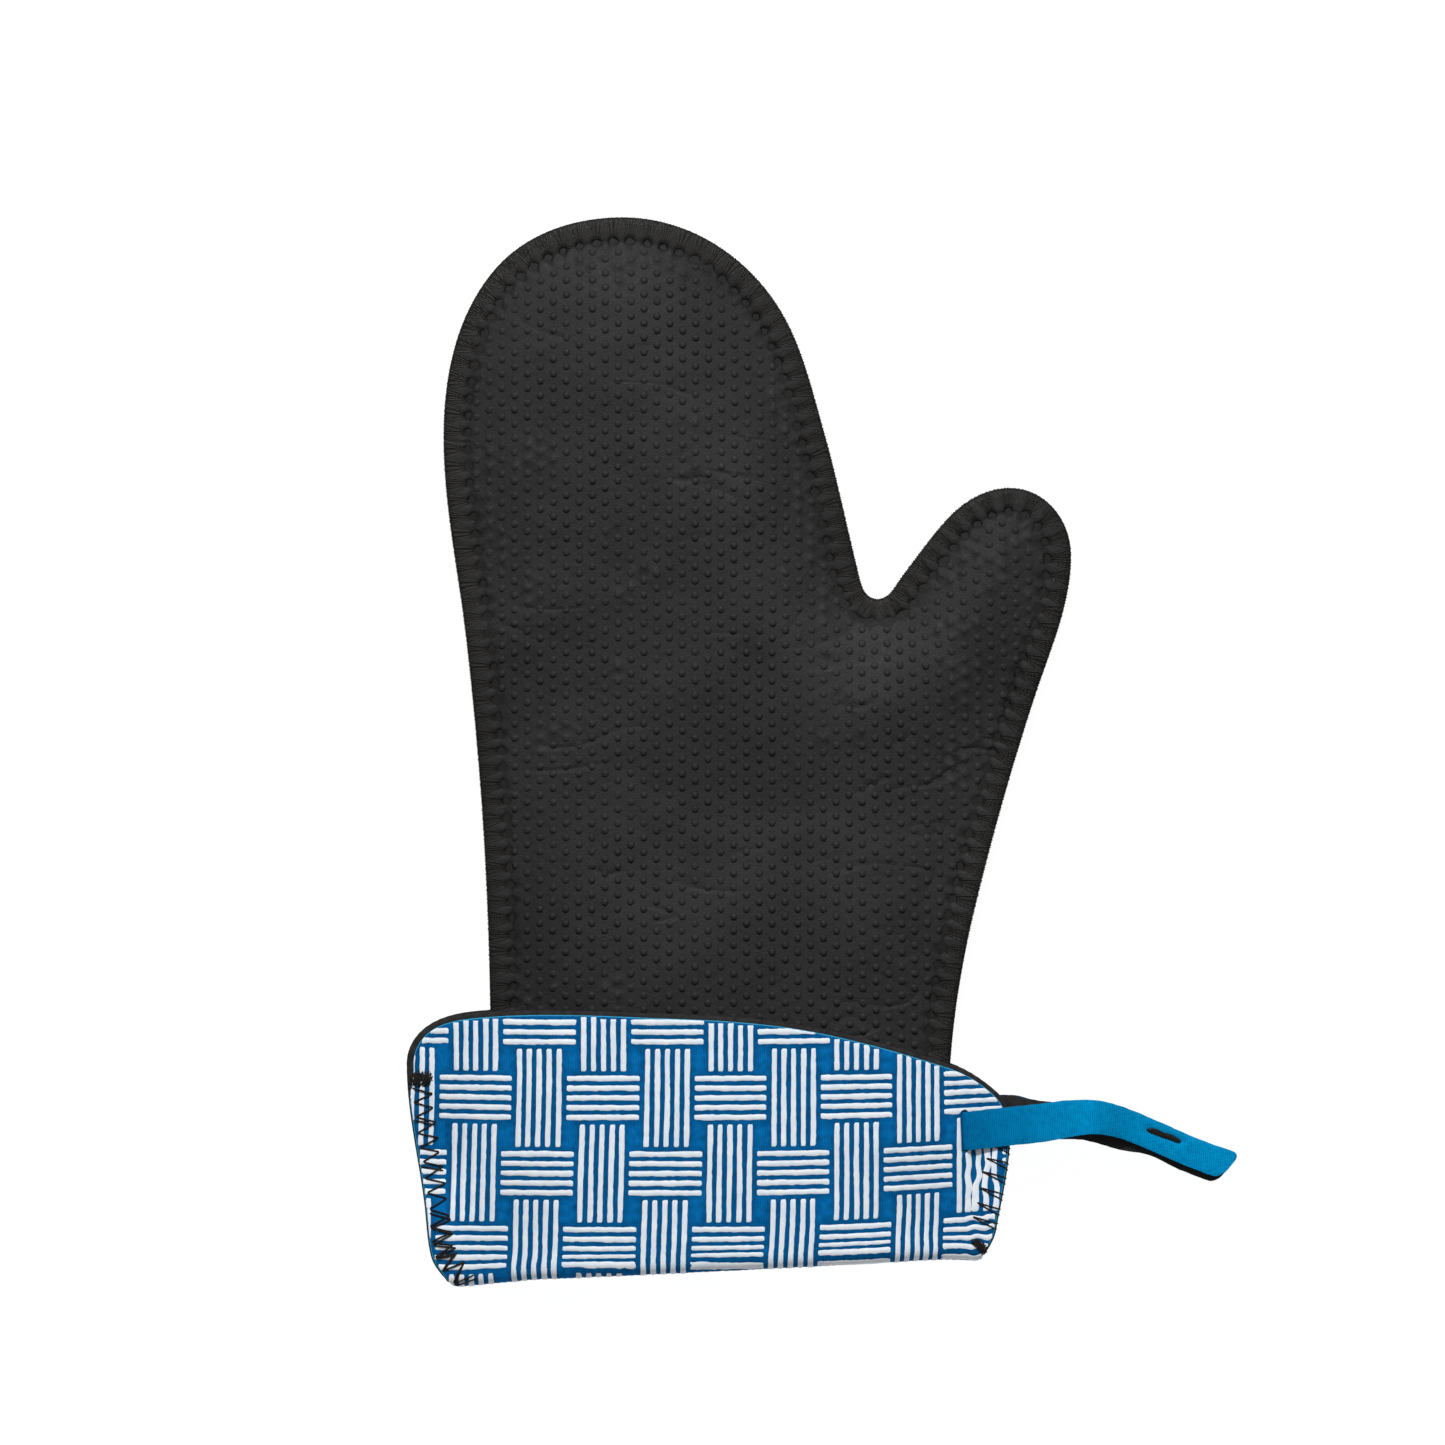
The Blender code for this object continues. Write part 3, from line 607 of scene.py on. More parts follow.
def bump(add, height, depth, before=None):
    """Bump of a depth in millimetres over any bump before it."""
    inputs = {"Height": height, "Strength": 1.0, "Distance": depth * MM}
    if before is not None:
        inputs["Normal"] = before
    return add("Bump", "Normal", inputs)


def rubber():
    """Matt black rubber: blotches, fine pores and a few long soft wrinkles."""
    made, add, join, place = principled("dotted_rubber", (0.028, 0.0275, 0.027), 0.62, specular=0.14)
    fine = noise_node(add, place, 1.6, 6.0, 0.6)
    both = maths(add, "ADD", noise_node(add, place, 38, 3.0), fine)
    body = tint(add, ramp(add, both, 0.75, 1.25), (0.0148, 0.0146, 0.0146), (0.025, 0.0247, 0.0246))
    # Painted shade: the vertices' shade darkens the rubber in the needle holes, under the seam threads, in
    # the creases and towards the fingertips.
    join(darkened(add, body), "Base Color")
    rough = {"Value": fine, "From Min": 0.3, "From Max": 0.7, "To Min": 0.5, "To Max": 0.74}
    join(add("MapRange", "Result", rough), "Roughness")
    grain = add("TexVoronoi", "Distance", {"Vector": place, "Scale": 1 / (0.7 * MM)})
    across = {"Vector": place, "Rotation": (0, 0, -0.22), "Scale": (0.3, 1.0, 1.0)}
    folds = noise_node(add, add("Mapping", "Vector", across), 16.0, 1.0, 0.4)
    away = maths(add, "ABSOLUTE", maths(add, "SUBTRACT", folds, 0.5))
    crease = maths(add, "SUBTRACT", ramp(add, away, 0.0, 0.05), 1.0)
    crease = maths(add, "MULTIPLY", crease, ramp(add, noise_node(add, place, 34.0, 1.0), 0.53, 0.68))
    pores = noise_node(add, place, 2.6, 5.0, 0.6)
    join(bump(add, grain, 0.09, bump(add, pores, 0.21, bump(add, crease, 0.36))), "Normal")
    return made


def foam_finish():
    """Cut neoprene foam: dark, dull and full of small cells."""
    made, add, join, place = principled("neoprene_foam", (0.016, 0.0158, 0.016), 0.85, specular=0.25)
    cells = add("TexVoronoi", "Distance", {"Vector": place, "Scale": 1 / (0.35 * MM)})
    patches = noise_node(add, place, 3.0, 5.0, 0.6)
    colour = tint(add, ramp(add, patches, 0.35, 0.7), (0.010, 0.0098, 0.0098), (0.026, 0.0255, 0.0255))
    join(colour, "Base Color")
    join(bump(add, cells, 0.12, bump(add, patches, 0.2)), "Normal")
    return made


def jersey(name, low, high, wale, turn, cross=1.0, deep=1.0, shaded=False):
    """Knitted jersey: wales of a width in millimetres, run across by finer courses as strongly as cross.

    Below 1, deep is how dark the loop is painted near its slit, against the rest of the loop: painted shade
    where the strip bends down into the slit.
    Shaded cloth is darker where its vertices' shade is below 1.
    """
    made, add, join, place = principled(name, high, 0.85, specular=0.03)
    turned = add("Mapping", "Vector", {"Vector": place, "Rotation": (0, 0, math.radians(turn))})
    wander = noise_node(add, place, 2.2, 3.0)
    wales = wave(add, turned, wale, "X", 0.9, detail_scale=1.4)
    courses = wave(add, turned, wale / 1.55, "Y", 1.2, detail_scale=1.4)
    courses = add("MapRange", "Result", {"Value": courses, "To Min": 1 - cross})
    knit = maths(add, "ADD", maths(add, "MULTIPLY", wales, courses), ramp(add, wander, 0.2, 0.9))
    colour = tint(add, ramp(add, knit, 0.05, 1.1), low, high)
    if deep < 1:
        # Painted shade: the loop is painted darker towards its slit end, where the strip bends down out of
        # the light.
        out = ramp(add, add("SeparateXYZ", "X", {"Vector": place}), 0.050, 0.094)
        slit_shade_mix = {0: 1.0, 6: colour, 7: (deep, deep, deep * 1.12, 1.0)}
        dark = add("Mix", 2, slit_shade_mix, data_type="RGBA", blend_type="MULTIPLY")
        colour = tint(add, out, dark, colour)
    join(darkened(add, colour, (0, 0, 0)) if shaded else colour, "Base Color")
    lint = noise_node(add, place, 0.5, 6.0, 0.7)
    join(bump(add, knit, 0.12, bump(add, lint, 0.12)), "Normal")
    return made


def thread_finish(name, low, high, shaded=False):
    """Twisted thread between two colours."""
    made, add, join, place = principled(name, high, 0.7, specular=0.15)
    twist = wave(add, place, 0.45, "DIAGONAL", 2.5)
    colour = tint(add, twist, low, high)
    # Shaded thread takes painted shade and painted light from its vertices' shade.
    join(darkened(add, colour) if shaded else colour, "Base Color")
    join(bump(add, twist, 0.06), "Normal")
    return made


def ink_finish():
    """White printing ink that takes on a little of the cloth's weave and colour."""
    made, add, join, place = principled("print_ink", (0.66, 0.71, 0.76), 0.75, specular=0.15)
    patches = noise_node(add, place, 4.5, 5.0, 0.6)
    colour = tint(add, ramp(add, patches, 0.3, 0.75), (0.70, 0.775, 0.86), (0.88, 0.905, 0.93))
    join(colour, "Base Color")
    weave = wave(add, place, 0.62, "X", 1.0)
    join(bump(add, weave, 0.05, bump(add, noise_node(add, place, 0.8, 6.0, 0.7), 0.10)), "Normal")
    return made


RUBBER = rubber()
NEOPRENE = foam_finish()
CUFF_JERSEY = jersey("printed_jersey", (0.0, 0.088, 0.262), (0.003, 0.188, 0.53), 0.62, 2.76, shaded=True)
CUT_JERSEY = jersey("jersey_cut_edge", (0.02, 0.22, 0.42), (0.05, 0.36, 0.58), 0.5, 0)
# The loop's cloth takes painted shade near the slit, down to 0.52 of its colour.
LOOP_JERSEY = jersey("loop_jersey", (0.0, 0.155, 0.37), (0.0, 0.31, 0.645), 0.78, 4, 0.4, 0.52)
THREAD_BLACK = thread_finish("black_thread", (0.006, 0.005, 0.0045), (0.020, 0.018, 0.016))
# seam_thread is shaded: painted shade near the needle holes and painted light on the mitt's left and top.
SEAM_THREAD = thread_finish("seam_thread", (0.019, 0.018, 0.0162), (0.082, 0.0775, 0.069), True)
INK = ink_finish()


# ---------------------------------------------------------------- relief of the rubber face

STITCH = 6.0
THREAD_LEANS = (-1.0, -0.68, -0.34, 0.0, 0.34, 0.68, 1.0)
ZIGZAG_PITCH = 5.6
ROUND_OFF = 1.7  # how far in from the cut edge the rubber rounds over
FAN = 2.4  # how far along the edge a stitch's outer threads land from its needle hole
HAND_LENGTH = run_lengths(EDGE[HAND_RUN])
NEEDLE_LENGTH = run_lengths(EDGE[HAND_RUN] + NEEDLE * EDGE_IN[HAND_RUN])
STITCH_COUNT = int(NEEDLE_LENGTH[-1] // STITCH)
STITCH_PITCH = float(NEEDLE_LENGTH[-1]) / STITCH_COUNT


def to_needle(run):
    """Distance along the needle line for a run along the cut edge."""
    return np.interp(run, HAND_LENGTH, NEEDLE_LENGTH)


def from_needle(mark):
    """Run along the cut edge for a distance along the needle line."""
    return np.interp(mark, NEEDLE_LENGTH, HAND_LENGTH)


def needle_jitter(k, what):
    """A small fixed unevenness of each hand-guided stitch."""
    return math.sin(k * 12.9898 + what * 78.233) * 0.5 + math.sin(k * 4.137 + what * 2.71) * 0.5


def place_on_edge(flat):
    """Depth in from the cut edge and run along the hand's sewn edge, for each flat point."""
    depth, index = closest(flat, EDGE[HAND_RUN])
    return depth, HAND_LENGTH[index]


def band_relief(depth, run):
    """Height that stitching adds to the rubber face: pulled in at the needle holes, puffed between."""
    run = to_needle(run)
    k = np.floor(run / STITCH_PITCH)
    u = run - (k + 0.5) * STITCH_PITCH
    far = np.abs(u)
    hole = -1.7 * np.exp(-(u / 1.05) ** 2 - ((depth - NEEDLE) / 1.0) ** 2)
    groove = -0.2 * bell(depth - NEEDLE, 0.9)
    spread = FAN * fraction(1 - depth / NEEDLE)
    pressed = -0.16 * bell(far - spread, 0.45) * (depth < NEEDLE)
    across = np.sin(np.pi * fraction(depth / NEEDLE)) ** 0.7
    puff = 0.4 * across * (1 - bell(far, 1.2))
    shoulder = 0.08 * bell(depth - NEEDLE - 2.4, 1.6)
    turned = np.clip(ROUND_OFF - depth, 0, None)
    rounding = -0.75 * (ROUND_OFF - np.sqrt(np.maximum(ROUND_OFF ** 2 - turned ** 2, 0)))
    return hole + groove + pressed + puff + shoulder + rounding


def band_shade(depth, run):
    """Painted shade: how much darker the rubber is painted down in the needle holes, under the outermost
    threads, along the needle line and at the cut edge.
    """
    run = to_needle(run)
    k = np.floor(run / STITCH_PITCH)
    far = np.abs(run - (k + 0.5) * STITCH_PITCH)
    hole = np.exp(-(far / 1.55) ** 6 - ((depth - NEEDLE + 0.35) / 1.75) ** 6)
    fanned = 0.5 + FAN * fraction(1 - depth / NEEDLE)
    under = 0.6 * bell(far, fanned, 4) * (depth < NEEDLE)
    row = 0.35 * bell(depth - NEEDLE, 0.7)
    return np.clip(0.98 * hole + under + row + 0.35 * bell(depth, 0.5), 0, 0.97)


DOT_ACROSS, DOT_ALONG = 4.59, 5.11
DOT_RADIUS, DOT_HEIGHT = 1.42, 0.86
DOT_RINGS = (1.16, 0.7)
DOT_START = 10.5  # depth in from the cut edge where whole dots begin
DOTS_FROM = 18  # no dots are drawn nearer the fold than this q, where the cuff hides the face

# Soft creases in the palm's face, most of them across its lower part, each a curve through plan points
CREASES = [
    [(10.5, -14.6), (12.9, -13.7), (18.0, -10.7), (23.5, -8.0)],
    [(33.0, -11.9), (38.7, -10.2), (44.7, -6.2), (49.8, -3.6), (54.5, -2.9)],
    [(38.5, -3.6), (42.7, -1.6), (48.8, 1.2), (53.8, 1.7), (60.5, 1.2)],
    [(24.5, 2.6), (26.6, 4.0), (31.6, 6.5)],
    [(52.0, 5.2), (55.3, 5.5), (63.9, 4.0), (70.0, 3.2)],
    [(1.5, 18.9), (4.3, 18.1), (9.4, 16.6), (14.4, 16.9), (19.4, 18.1)],
    [(-52.0, 96.0), (-46.0, 98.5), (-40.5, 98.0)],
    [(-84.0, -41.0), (-77.0, -43.5), (-71.0, -42.0)],
]
CREASE_DEPTH = 0.55


def crease_lines(side):
    """The creases in fold coordinates; the back's lie elsewhere, where the knuckles bend."""
    shift = (0.0, 0.0) if side == PALM else (-46.0, 38.0)
    lines = []
    for knots in CREASES:
        line = densify(np.array(knots) + shift, 0.8)
        lines.append(np.stack(to_fold(*line.T), 1))
    return lines


def crease_relief(flat, lines):
    """The creases as a height: each is a narrow valley that fades out at its ends."""
    height = np.zeros(len(flat))
    for line in lines:
        gap = np.linalg.norm(flat[:, None] - line[None], axis=2)
        place = gap.argmin(1) / (len(line) - 1)
        fade = np.sqrt(fraction(4 * place * (1 - place)))
        height -= CREASE_DEPTH * fade * bell(gap.min(1), 0.6)
    return height


def densify(points, step):
    """A Catmull-Rom curve through points, in steps of about a given length."""
    points = np.asarray(points, float)
    padded = np.vstack([2 * points[0] - points[1], points, 2 * points[-1] - points[-2]])
    result = []
    for i in range(len(points) - 1):
        a, b, c, d = padded[i:i + 4]
        count = max(2, int(math.dist(b, c) / step))
        f = np.linspace(0, 1, count, endpoint=False)[:, None]
        curve = 2 * b + (c - a) * f + (2 * a - 5 * b + 4 * c - d) * f ** 2
        result.append(0.5 * (curve + (3 * b - a - 3 * c + d) * f ** 3))
    result.append(points[-1:])
    return np.vstack(result)


def dot_centres():
    """Dots in a hexagonal lattice whose close rows run the length of the mitt."""
    i, j = np.meshgrid(np.arange(-36, 32), np.arange(-44, 44), indexing="ij")
    x = i * DOT_ACROSS
    y = (j + (i % 2) / 2) * DOT_ALONG
    flat = np.stack(to_fold(x.ravel(), y.ravel()), 1)
    return flat[(flat[:, 1] > DOTS_FROM) & inside_edge(flat)]


def soft_dots(flat, depth, centres):
    """Dots that the stitching has flattened, as a height at each flat point."""
    height = np.exp(-nearest(flat, centres) ** 2 / 0.9)
    return height * np.interp(depth, [2.2, 4.5, 7.8, 9.2, 10.5], [0, 0.2, 0.24, 0.45, 0.55])


# ---------------------------------------------------------------- panels

def slit_outline():
    """The slit in the palm flap: a long hole with round ends, clockwise."""
    r, half = SLIT_WIDTH / 2, SLIT_LENGTH / 2
    turn = np.linspace(0, math.pi, 9)
    end = np.stack([r * np.cos(turn), half - 0.5 * r + 0.5 * r * np.sin(turn)], 1)
    side = np.stack([np.full(7, -r), np.linspace(0.6, -0.6, 7) * half], 1)
    ring = np.vstack([end, side, -end, -side])
    return (ring + on_flap(*SLIT_PLAN))[::-1]


SLIT = slit_outline()

# Opposite corners of a rectangle that holds the flat pattern
FLAT_LOW, FLAT_HIGH = (-150, -112), (145, 395)
SHARED_TOP = 66  # the q up to which a panel's foam and jersey are drawn through the same points

# Depths in from the cut edge of the rows of points beside it
CUFF_DEPTHS = (1.5, 3.0, 4.4, 5.7, 7.0, 8.3, 9.6, 11.0, 12.6, 14.4)
BAND_DEPTHS = (0.3, 0.75, 1.3, 2.1, 3.1, 4.2, 5.3, 6.4, 7.4, 8.0, 8.5, 9.1, 9.9)
FOAM_DEPTHS = (0.35, 0.8, 1.4, 2.2, 3.2)


def slit_holes(side):
    """The slit where the palm's sheets have it; the back has none."""
    return [np.round(SLIT, 3)] if side == PALM else []


def clear_of(points, lines, gap):
    """The points that are inside the edge and stay a gap away from all the lines."""
    kept = points[inside_edge(points)]
    return kept[nearest(kept, np.vstack(lines)) > gap]


def rows_beside(run, spacing, depths):
    """Rows of points alongside a run of the edge, where there is room for them."""
    rows = []
    for depth in depths:
        row = along(run, spacing, depth)
        rows.append(row[nearest(row, EDGE[::2]) > depth - 0.12])
    return np.vstack(rows)


def fold_rows(spacing, steps):
    """Rows of points across the cuff's fold."""
    rows = []
    for k in range(steps + 1):
        level = -FOLD_ARC * k / steps
        s = np.arange(-128, 142, spacing) + (k % 2) * spacing / 2
        rows.append(np.stack([s, np.full(len(s), level)], 1))
    return np.vstack(rows)


def cuff_points(lines):
    """Points that the cuff's foam and jersey are both drawn through, so that neither cuts the other."""
    sides = [rows_beside(run, 2.2, CUFF_DEPTHS) for run in (LEFT_RUN, RIGHT_RUN)]
    sides = clear_of(np.vstack(sides), lines, 0.9)
    fold = clear_of(fold_rows(2.4, 10), [*lines, sides], 0.8)
    cloth = lattice(2.6, FLAT_LOW, (FLAT_HIGH[0], SHARED_TOP))
    cloth = cloth[(cloth[:, 1] > 1.2) | (cloth[:, 1] < -FOLD_ARC - 1.2)]
    return np.vstack([sides, fold, clear_of(cloth, [*lines, sides], 1.3)])


def rubber_skin(name, side):
    """The dotted rubber face, one piece from the fingertips over the cuff's fold to the hem."""
    outline = np.round(RIM[::2], 3)
    holes = slit_holes(side)
    hole_lines = [SLIT] if side == PALM else []
    band = rows_beside(HAND_RUN, 0.95, BAND_DEPTHS)
    centres = dot_centres()
    inner, _ = place_on_edge(centres)
    whole = centres[inner > DOT_START]
    band = band[nearest(band, whole) > DOT_RADIUS + 0.25]
    creases = crease_lines(side)
    beside = []
    for line in creases:
        across = inward(line)[2:-2]
        beside.extend(line[2:-2] + shift * across for shift in (-0.9, 0.0, 0.9))
    beside = np.vstack(beside)
    beside = beside[(nearest(beside, whole) > DOT_RADIUS + 0.3) & (nearest(beside, EDGE[::2]) > 10.5)]
    turn = np.linspace(0, 2 * math.pi, 8, endpoint=False)
    ring = np.stack([np.cos(turn), np.sin(turn)], 1)
    wide = (whole[:, None] + DOT_RADIUS * ring[None]).reshape(-1, 2)
    tight = np.vstack([(whole[:, None] + r * ring[None]).reshape(-1, 2) for r in DOT_RINGS])
    hidden = [lattice(5.0, (-130, low), (140, high)) for low, high in ((-100, -FOLD_ARC - 2), (2, 22))]
    hidden = np.vstack([fold_rows(5.0, 5), *hidden])
    hidden = clear_of(hidden, [outline, *hole_lines, band], 2.2)
    hidden = hidden[(hidden[:, 1] < DOTS_FROM - 1) & (nearest(hidden, wide[wide[:, 1] < 40]) > 3.0)]
    flat, faces = triangulate(outline, np.vstack([band, wide, tight, whole, beside, hidden]), holes)
    depth, run = place_on_edge(flat)
    on_hand = flat[:, 1] > -1
    height = np.where(on_hand & (depth < 14), band_relief(depth, run), 0)
    crown = np.zeros(len(flat))
    near = np.nonzero(flat[:, 1] > 10)[0]
    gap = nearest(flat[near], whole)
    crown[near] = DOT_HEIGHT * np.interp(gap, [0, DOT_RINGS[1], DOT_RINGS[0], DOT_RADIUS], [1, 0.92, 0.6, 0])
    dot_wear_and_thread_light = np.clip(0.83 + 0.24 * noise(flat, 24.0, 5) + 0.2 * noise(flat, 6.0, 8), 0.45, 1.06)
    stretched = fraction((19 - depth) / 8.5) * ease((flat[:, 1] - 190) / 70)
    dot_wear_and_thread_light = dot_wear_and_thread_light * (1 - 0.45 * stretched)
    flattened = np.zeros(len(flat))
    rim = np.nonzero(on_hand & (depth < DOT_START))[0]
    flattened[rim] = soft_dots(flat[rim], depth[rim], centres[inner <= DOT_START])
    creased = crease_relief(flat, creases)
    height = HALF + height + crown * dot_wear_and_thread_light + flattened + creased
    low_lattice = clear_of(lattice(14.0, (-130, -100), (140, 395)), [outline, *hole_lines], 4.0)
    low_flat, low_faces = triangulate(outline, low_lattice, holes)
    low = np.full(len(low_flat), HALF - SKIN + 0.02)
    low_depth, _ = place_on_edge(low_flat)
    low = np.where((low_flat[:, 1] > -1) & (low_depth < 1.5), low - 0.35, low)
    # Painted shade: darker in the needle holes, under the seam's threads and down in the creases.
    shade = (1 - band_shade(depth, run) * on_hand) * (1 + 0.8 * creased)
    # Painted shade: darker towards the fingertips, damping the broad highlight that the key light leaves
    # there.
    shade = shade * (1 - 0.12 * ease((flat[:, 1] - 300) / 50))
    # The hidden inner face, against the foam, is drawn at shade 0.6.
    shades = np.concatenate([shade, np.full(len(low_flat), 0.6)])
    top, under = (flat, faces, height), (low_flat, low_faces, low)
    item = closed_sheet(name, side, top, under, closest(flat, low_flat)[1], RUBBER, shades, 50)
    foot = np.zeros(len(item.data.vertices), bool)
    foot[near[np.abs(gap - DOT_RADIUS) < 0.01]] = True
    crease_between(item, foot, 1.1)
    return item


def crease_between(item, chosen, longest):
    """Hard creases along the short edges between chosen vertices: the foot of each moulded dot."""
    mesh = item.data
    ends = np.empty(len(mesh.edges) * 2, np.int32)
    mesh.edges.foreach_get("vertices", ends)
    ends = ends.reshape(-1, 2)
    spots = np.empty(len(mesh.vertices) * 3, np.float32)
    mesh.vertices.foreach_get("co", spots)
    spots = spots.reshape(-1, 3) / MM
    short = np.linalg.norm(spots[ends[:, 0]] - spots[ends[:, 1]], axis=1) < longest
    sharp = mesh.attributes["sharp_edge"]
    values = np.empty(len(mesh.edges), bool)
    sharp.data.foreach_get("value", values)
    sharp.data.foreach_set("value", values | (chosen[ends].all(1) & short))


def hem_inset(run_points):
    """How far the jersey's cut edge lies in from the foam's, along the outline: the seam tucks it in."""
    s, q = run_points[:, 0], run_points[:, 1]
    n = -q - FOLD_ARC
    hem = ease((n - np.where(s < 0, 62, 42)) / 12)
    left = ease((-s - 60) / 60)
    return 0.2 + hem * (1.05 + 1.0 * left) + 0.8 * ease((q - 2) / 14)


def foam_pad(name, side):
    """The cut foam between the two faces, its bared edges bevelled and soft."""
    outline = np.round(RIM[::3], 3)
    holes = slit_holes(side)
    every = np.arange(len(EDGE))
    rows = clear_of(rows_beside(every, 1.6, FOAM_DEPTHS), [outline, *holes], 0.3)
    cuff = cuff_points([EDGE[::4], *holes])
    cuff = cuff[nearest(cuff, rows) > 0.9]
    inner = clear_of(lattice(9.0, (FLAT_LOW[0], SHARED_TOP - 6), FLAT_HIGH), [EDGE[::4], cuff], 5.0)
    flat, faces = triangulate(outline, np.vstack([rows, cuff, inner]), holes)
    depth = nearest(flat, RIM[::2])
    hem = ease((-flat[:, 1] - FOLD_ARC - np.where(flat[:, 0] < 0, 60, 40)) / 12)
    round_top = rounded(depth, 0.9)
    round_low = rounded(depth, 1.1 + 1.2 * hem)
    crest = 0.35 * hem
    high = crest + (0.75 - crest) * round_top
    low = crest - 0.12 - (0.73 + crest) * round_low
    rough = 0.05 * noise(flat, 1.8, 11) * (depth < 3)
    return sheet_solid(name, side, flat, faces, low + rough, high + rough, NEOPRENE)


def jersey_lining(name, side):
    """The jersey face: lining inside the mitt, print side out on the turned-up cuff."""
    inset = hem_inset(EDGE)
    line = (EDGE + inset[:, None] * EDGE_IN)[::2]
    outline = np.round(line, 3)
    holes = slit_holes(side)
    cuff = cuff_points([line, EDGE[::4], *holes])
    inside = lattice(8.0, (FLAT_LOW[0], SHARED_TOP), FLAT_HIGH)
    inside = clear_of(inside, [line, cuff, *holes], 3.0)
    flat, faces = triangulate(outline, np.vstack([cuff, inside]), holes)
    low = np.full(len(flat), -HALF) + cloth_relief(side, flat)
    high = -HALF + LINING + np.zeros(len(flat))
    depth, owner = closest(flat, line)
    curl = 0.22 * bell(depth, 0.6)
    on_line = depth < 0.02
    pulled = np.zeros_like(flat)
    pulled[on_line] = 0.32 * EDGE_IN[::2][owner[on_line]]
    item = sheet_solid(name, side, flat, faces, low + curl, high, CUFF_JERSEY, pulled, block_shade(flat))
    item.data.materials.append(CUT_JERSEY)
    for polygon in item.data.polygons:
        if len(polygon.vertices) == 4:
            polygon.material_index = 1
    return item


def cloth_relief(side, flat):
    """Small unevenness of the jersey's outer face; below 0 is proud of the foam."""
    broad = 0.10 * noise(flat, 11.0, 21 + side) + 0.05 * noise(flat, 4.0, 31 + side)
    return np.minimum(broad, 0.12)


# ---------------------------------------------------------------- basket print

COLUMN_X, COLUMN_PITCH = -78.5, 22.85
BLOCK_Y, BLOCK_PERIOD = -149.8, 53.9
UPRIGHT_STROKES, UPRIGHT_PITCH, UPRIGHT_LENGTH = 5, 3.55, 35.3
LEVEL_STROKES, LEVEL_PITCH, LEVEL_LENGTH = 5, 3.46, 26.3
STROKE_WIDTH, STROKE_STEP = 2.0, 0.75
INK_FOOT, INK_TOP = 0.05, -0.15  # below 0 is proud of the cloth
PRINT_END, PRINT_FAR = 62, -125  # the print's ends inside the hand and beyond the hem, as q


def basket_strokes():
    """Middle, direction and length of each painted stroke, on the cuff laid out flat."""
    strokes = []
    for column in range(-4, 9):
        x = COLUMN_X + column * COLUMN_PITCH
        for row in range(-2, 4):
            y = BLOCK_Y + (row + (column % 2) / 2) * BLOCK_PERIOD
            for k in range(UPRIGHT_STROKES):
                offset = (k - (UPRIGHT_STROKES - 1) / 2) * UPRIGHT_PITCH
                strokes.append((x + offset, y, 0, 1, UPRIGHT_LENGTH))
            for k in range(LEVEL_STROKES):
                offset = (k - (LEVEL_STROKES - 1) / 2) * LEVEL_PITCH
                strokes.append((x, y + BLOCK_PERIOD / 2 + offset, 1, 0, LEVEL_LENGTH))
    return strokes


def block_shade(flat):
    """Cloth shade: printing darkens the dye between the strokes of a block and leaves it bright elsewhere."""
    x, y = to_plan(flat[:, 0], -FOLD_ARC - flat[:, 1])
    covered = np.zeros(len(flat))
    for middle_x, middle_y, ux, uy, length in basket_strokes():
        middle_x, middle_y = stretch_print(np.float64(middle_x), np.float64(middle_y))
        along_x = length / 2 if ux else 2.2
        along_y = length / 2 if uy else 2.2
        out = np.maximum(np.abs(x - middle_x) - along_x, np.abs(y - middle_y) - along_y)
        covered = np.maximum(covered, ease(0.5 - out / 1.2))
    return 1 - 0.36 * covered * (flat[:, 1] < 0)


def stretch_print(x, y):
    """The print as it lies: drawn together and climbing on the right, and leaning left towards the fold."""
    closer = 0.018 * np.maximum(x + 53, 0) + 0.0008 * np.maximum(x - 15, 0) ** 2
    climb = 2.9e-4 * np.maximum(x + 45, 0) ** 2 * np.interp(-y, [115, 150, 180], [0.5, 1.0, 1.2])
    share = ease((x + 90) / 110)
    lean = 1.7 * (1 - share) * ease((-105 - y) / 85) + 1.0 * share * ease((-162 - y) / 25)
    return x - closer - lean, y - 0.35 + climb


def level_out(side, s, q):
    """Moves flat points on the flap so that they come straight above their places in plan."""
    wanted = np.stack([s.ravel(), q.ravel()], 1)
    moved = wanted.copy()
    share = ease((-wanted[:, 1] - FOLD_ARC) / 10)[:, None]
    if share.max() == 0:
        return s, q
    for _ in range(2):
        where = panel_point(side, *moved.T, -HALF)
        now = np.stack(on_flap(where[:, 0], where[:, 1]), 1)
        moved += 0.9 * share * (wanted - now)
    return moved[:, 0].reshape(s.shape), moved[:, 1].reshape(s.shape)


def cloth_margin(flat):
    """Signed distance in from the printed face's own edge, and out of the slit."""
    margin = nearest(flat, EDGE[::2])
    return np.where(inside_edge(flat), margin, -margin) - hem_inset(flat)


